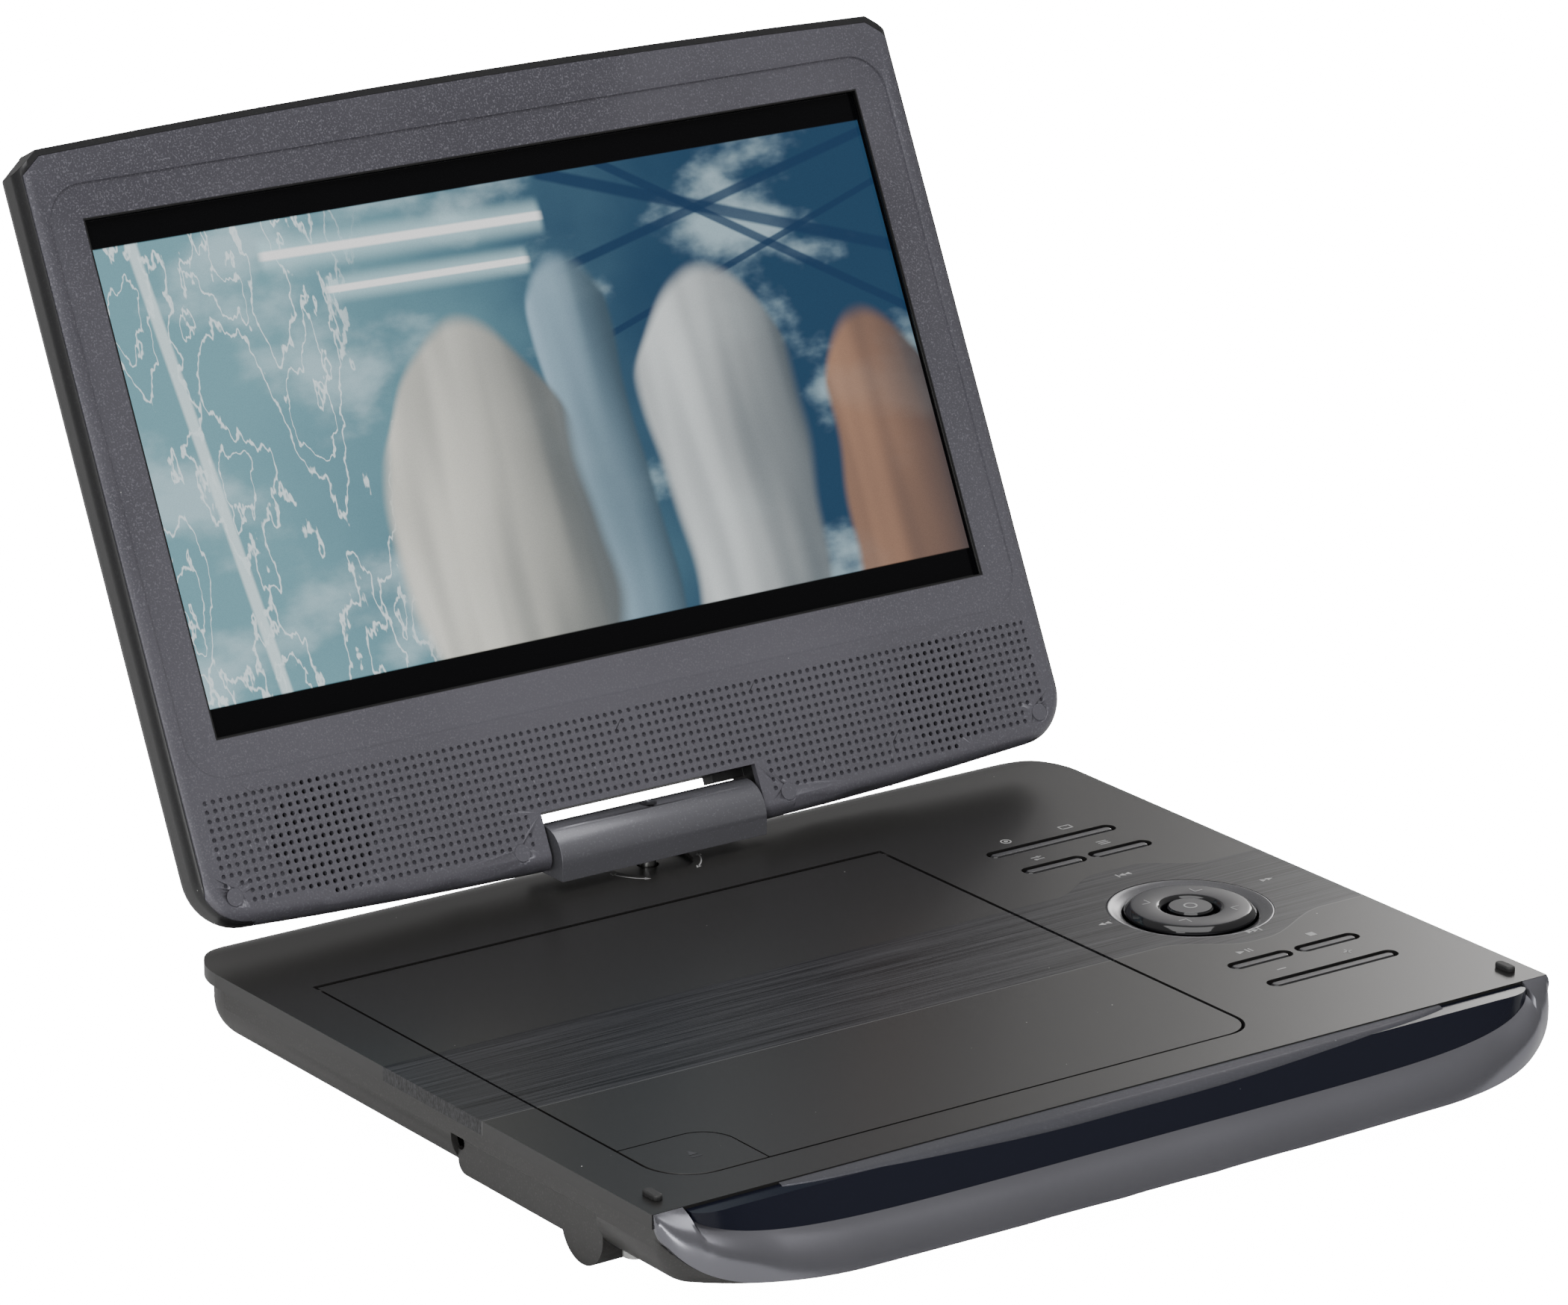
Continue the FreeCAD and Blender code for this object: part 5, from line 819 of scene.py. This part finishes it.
def paint_cad():
    """Give every part of the design the finish of its slot."""
    for part in frame["record"]["subparts"]:
        mesh = NODES[part["node"]].data
        mesh.materials.clear()
        # The plugs are rubber too, but tinted like the bezel they sit in.
        finish = "plugs" if part["node"] == "screw_plugs" else part["material_slot"]
        mesh.materials.append(PAINT[finish])


paint_cad()
for key in ("source_key", "setup_key", "menu_key", "play_key", "stop_key", "volume_key"):
    make_key_cap(key)
make_lip()
make_nav_ring()
make_legends()
make_swivel_signs()
make_bezel()
make_picture()
for node in ("open_button", "lid_rear_cover", "base_lower_case",
             "hinge_block_front", "hinge_block_rear", "dial_bezel", "top_bumpers"):
    soften(node)


# ---------------------------------------------------------------- studio
FLOOR_GLOW, BACKDROP_GLOW = 16.0, 26.0
SURROUND = (0.30, 0.55)


def make_floor():
    """A pale, endless floor that stays bright to the eye, with a faint shadow."""
    mesh = bpy.data.meshes.new("floor")
    size = 6.0
    corners = [(-size, -size, 0), (size, -size, 0), (size, size, 0), (-size, size, 0)]
    mesh.from_pydata(corners, [], [[0, 1, 2, 3]])
    floor = bpy.data.objects.new("floor", mesh)
    bpy.context.scene.collection.objects.link(floor)
    g = Graph("floor paint")
    ray = g.nodes.new("ShaderNodeLightPath").outputs["Is Camera Ray"]
    g.set(Base_Color=g.mix((0.80, 0.80, 0.80), (0.84, 0.84, 0.84), g.noise(0.002)), Roughness=0.9,
          Emission_Color=(1.0, 1.0, 1.0), Emission_Strength=g.math("MULTIPLY", ray, FLOOR_GLOW),
          Specular_IOR_Level=0.0)
    mesh.materials.append(g.material)


def make_world():
    """White to the eye; a soft grey surround for light and reflections, brighter overhead."""
    world = bpy.data.worlds.new("studio")
    bpy.context.scene.world = world
    world.use_nodes = True
    nodes, links = world.node_tree.nodes, world.node_tree.links
    surround, backdrop = nodes["Background"], nodes.new("ShaderNodeBackground")
    place = nodes.new("ShaderNodeTexCoord")
    height = nodes.new("ShaderNodeSeparateXYZ")
    ramp = nodes.new("ShaderNodeMapRange")
    chooser, ray = nodes.new("ShaderNodeMixShader"), nodes.new("ShaderNodeLightPath")
    for socket, value in zip(ramp.inputs[1:], (0.0, 0.9, *SURROUND)):
        socket.default_value = value
    links.new(place.outputs["Generated"], height.inputs[0])
    links.new(height.outputs["Z"], ramp.inputs["Value"])
    links.new(ramp.outputs[0], surround.inputs["Strength"])
    surround.inputs["Color"].default_value = (1.0, 0.99, 0.98, 1.0)
    backdrop.inputs["Strength"].default_value = BACKDROP_GLOW
    links.new(ray.outputs["Is Camera Ray"], chooser.inputs[0])
    links.new(surround.outputs[0], chooser.inputs[1])
    links.new(backdrop.outputs[0], chooser.inputs[2])
    links.new(chooser.outputs[0], nodes["World Output"].inputs["Surface"])


def make_light(name, place, aim, size, power, color=(1.0, 1.0, 1.0)):
    lamp = bpy.data.lights.new(name, "AREA")
    lamp.shape = "RECTANGLE"
    lamp.size, lamp.size_y = size
    lamp.energy = power
    lamp.color = color
    light = bpy.data.objects.new(name, lamp)
    bpy.context.scene.collection.objects.link(light)
    light.location = place
    light.rotation_euler = (Vector(aim) - Vector(place)).to_track_quat("-Z", "Y").to_euler()


def make_camera():
    place, target, roll = Vector((-0.9393, -1.2680, 0.6176)), Vector((-0.0520, -0.0329, 0.1205)), 0.2
    lens = bpy.data.cameras.new("camera")
    lens.lens, lens.sensor_width = 167.07, 36.0
    camera = bpy.data.objects.new("camera", lens)
    bpy.context.scene.collection.objects.link(camera)
    aim = (target - place).to_track_quat("-Z", "Y").to_matrix().to_4x4()
    camera.matrix_world = Matrix.Translation(place) @ aim @ Matrix.Rotation(math.radians(roll), 4, "Z")
    bpy.context.scene.camera = camera


make_floor()
make_camera()
make_world()
make_light("overhead", (-0.3, -0.5, 2.2), (0.0, 0.0, 0.0), (2.0, 2.0), 42)
make_light("front left", (-1.5, -1.1, 0.7), (-0.1, -0.1, 0.02), (0.5, 0.9), 9)
make_light("back right", (1.5, 1.15, 0.7), (0.12, 0.05, 0.02), (0.5, 0.5), 6.0, (1.0, 0.98, 0.96))
make_light("low strip", (-1.15, -1.25, 0.12), (-0.10, -0.1, 0.012), (0.6, 0.14), 4.5)
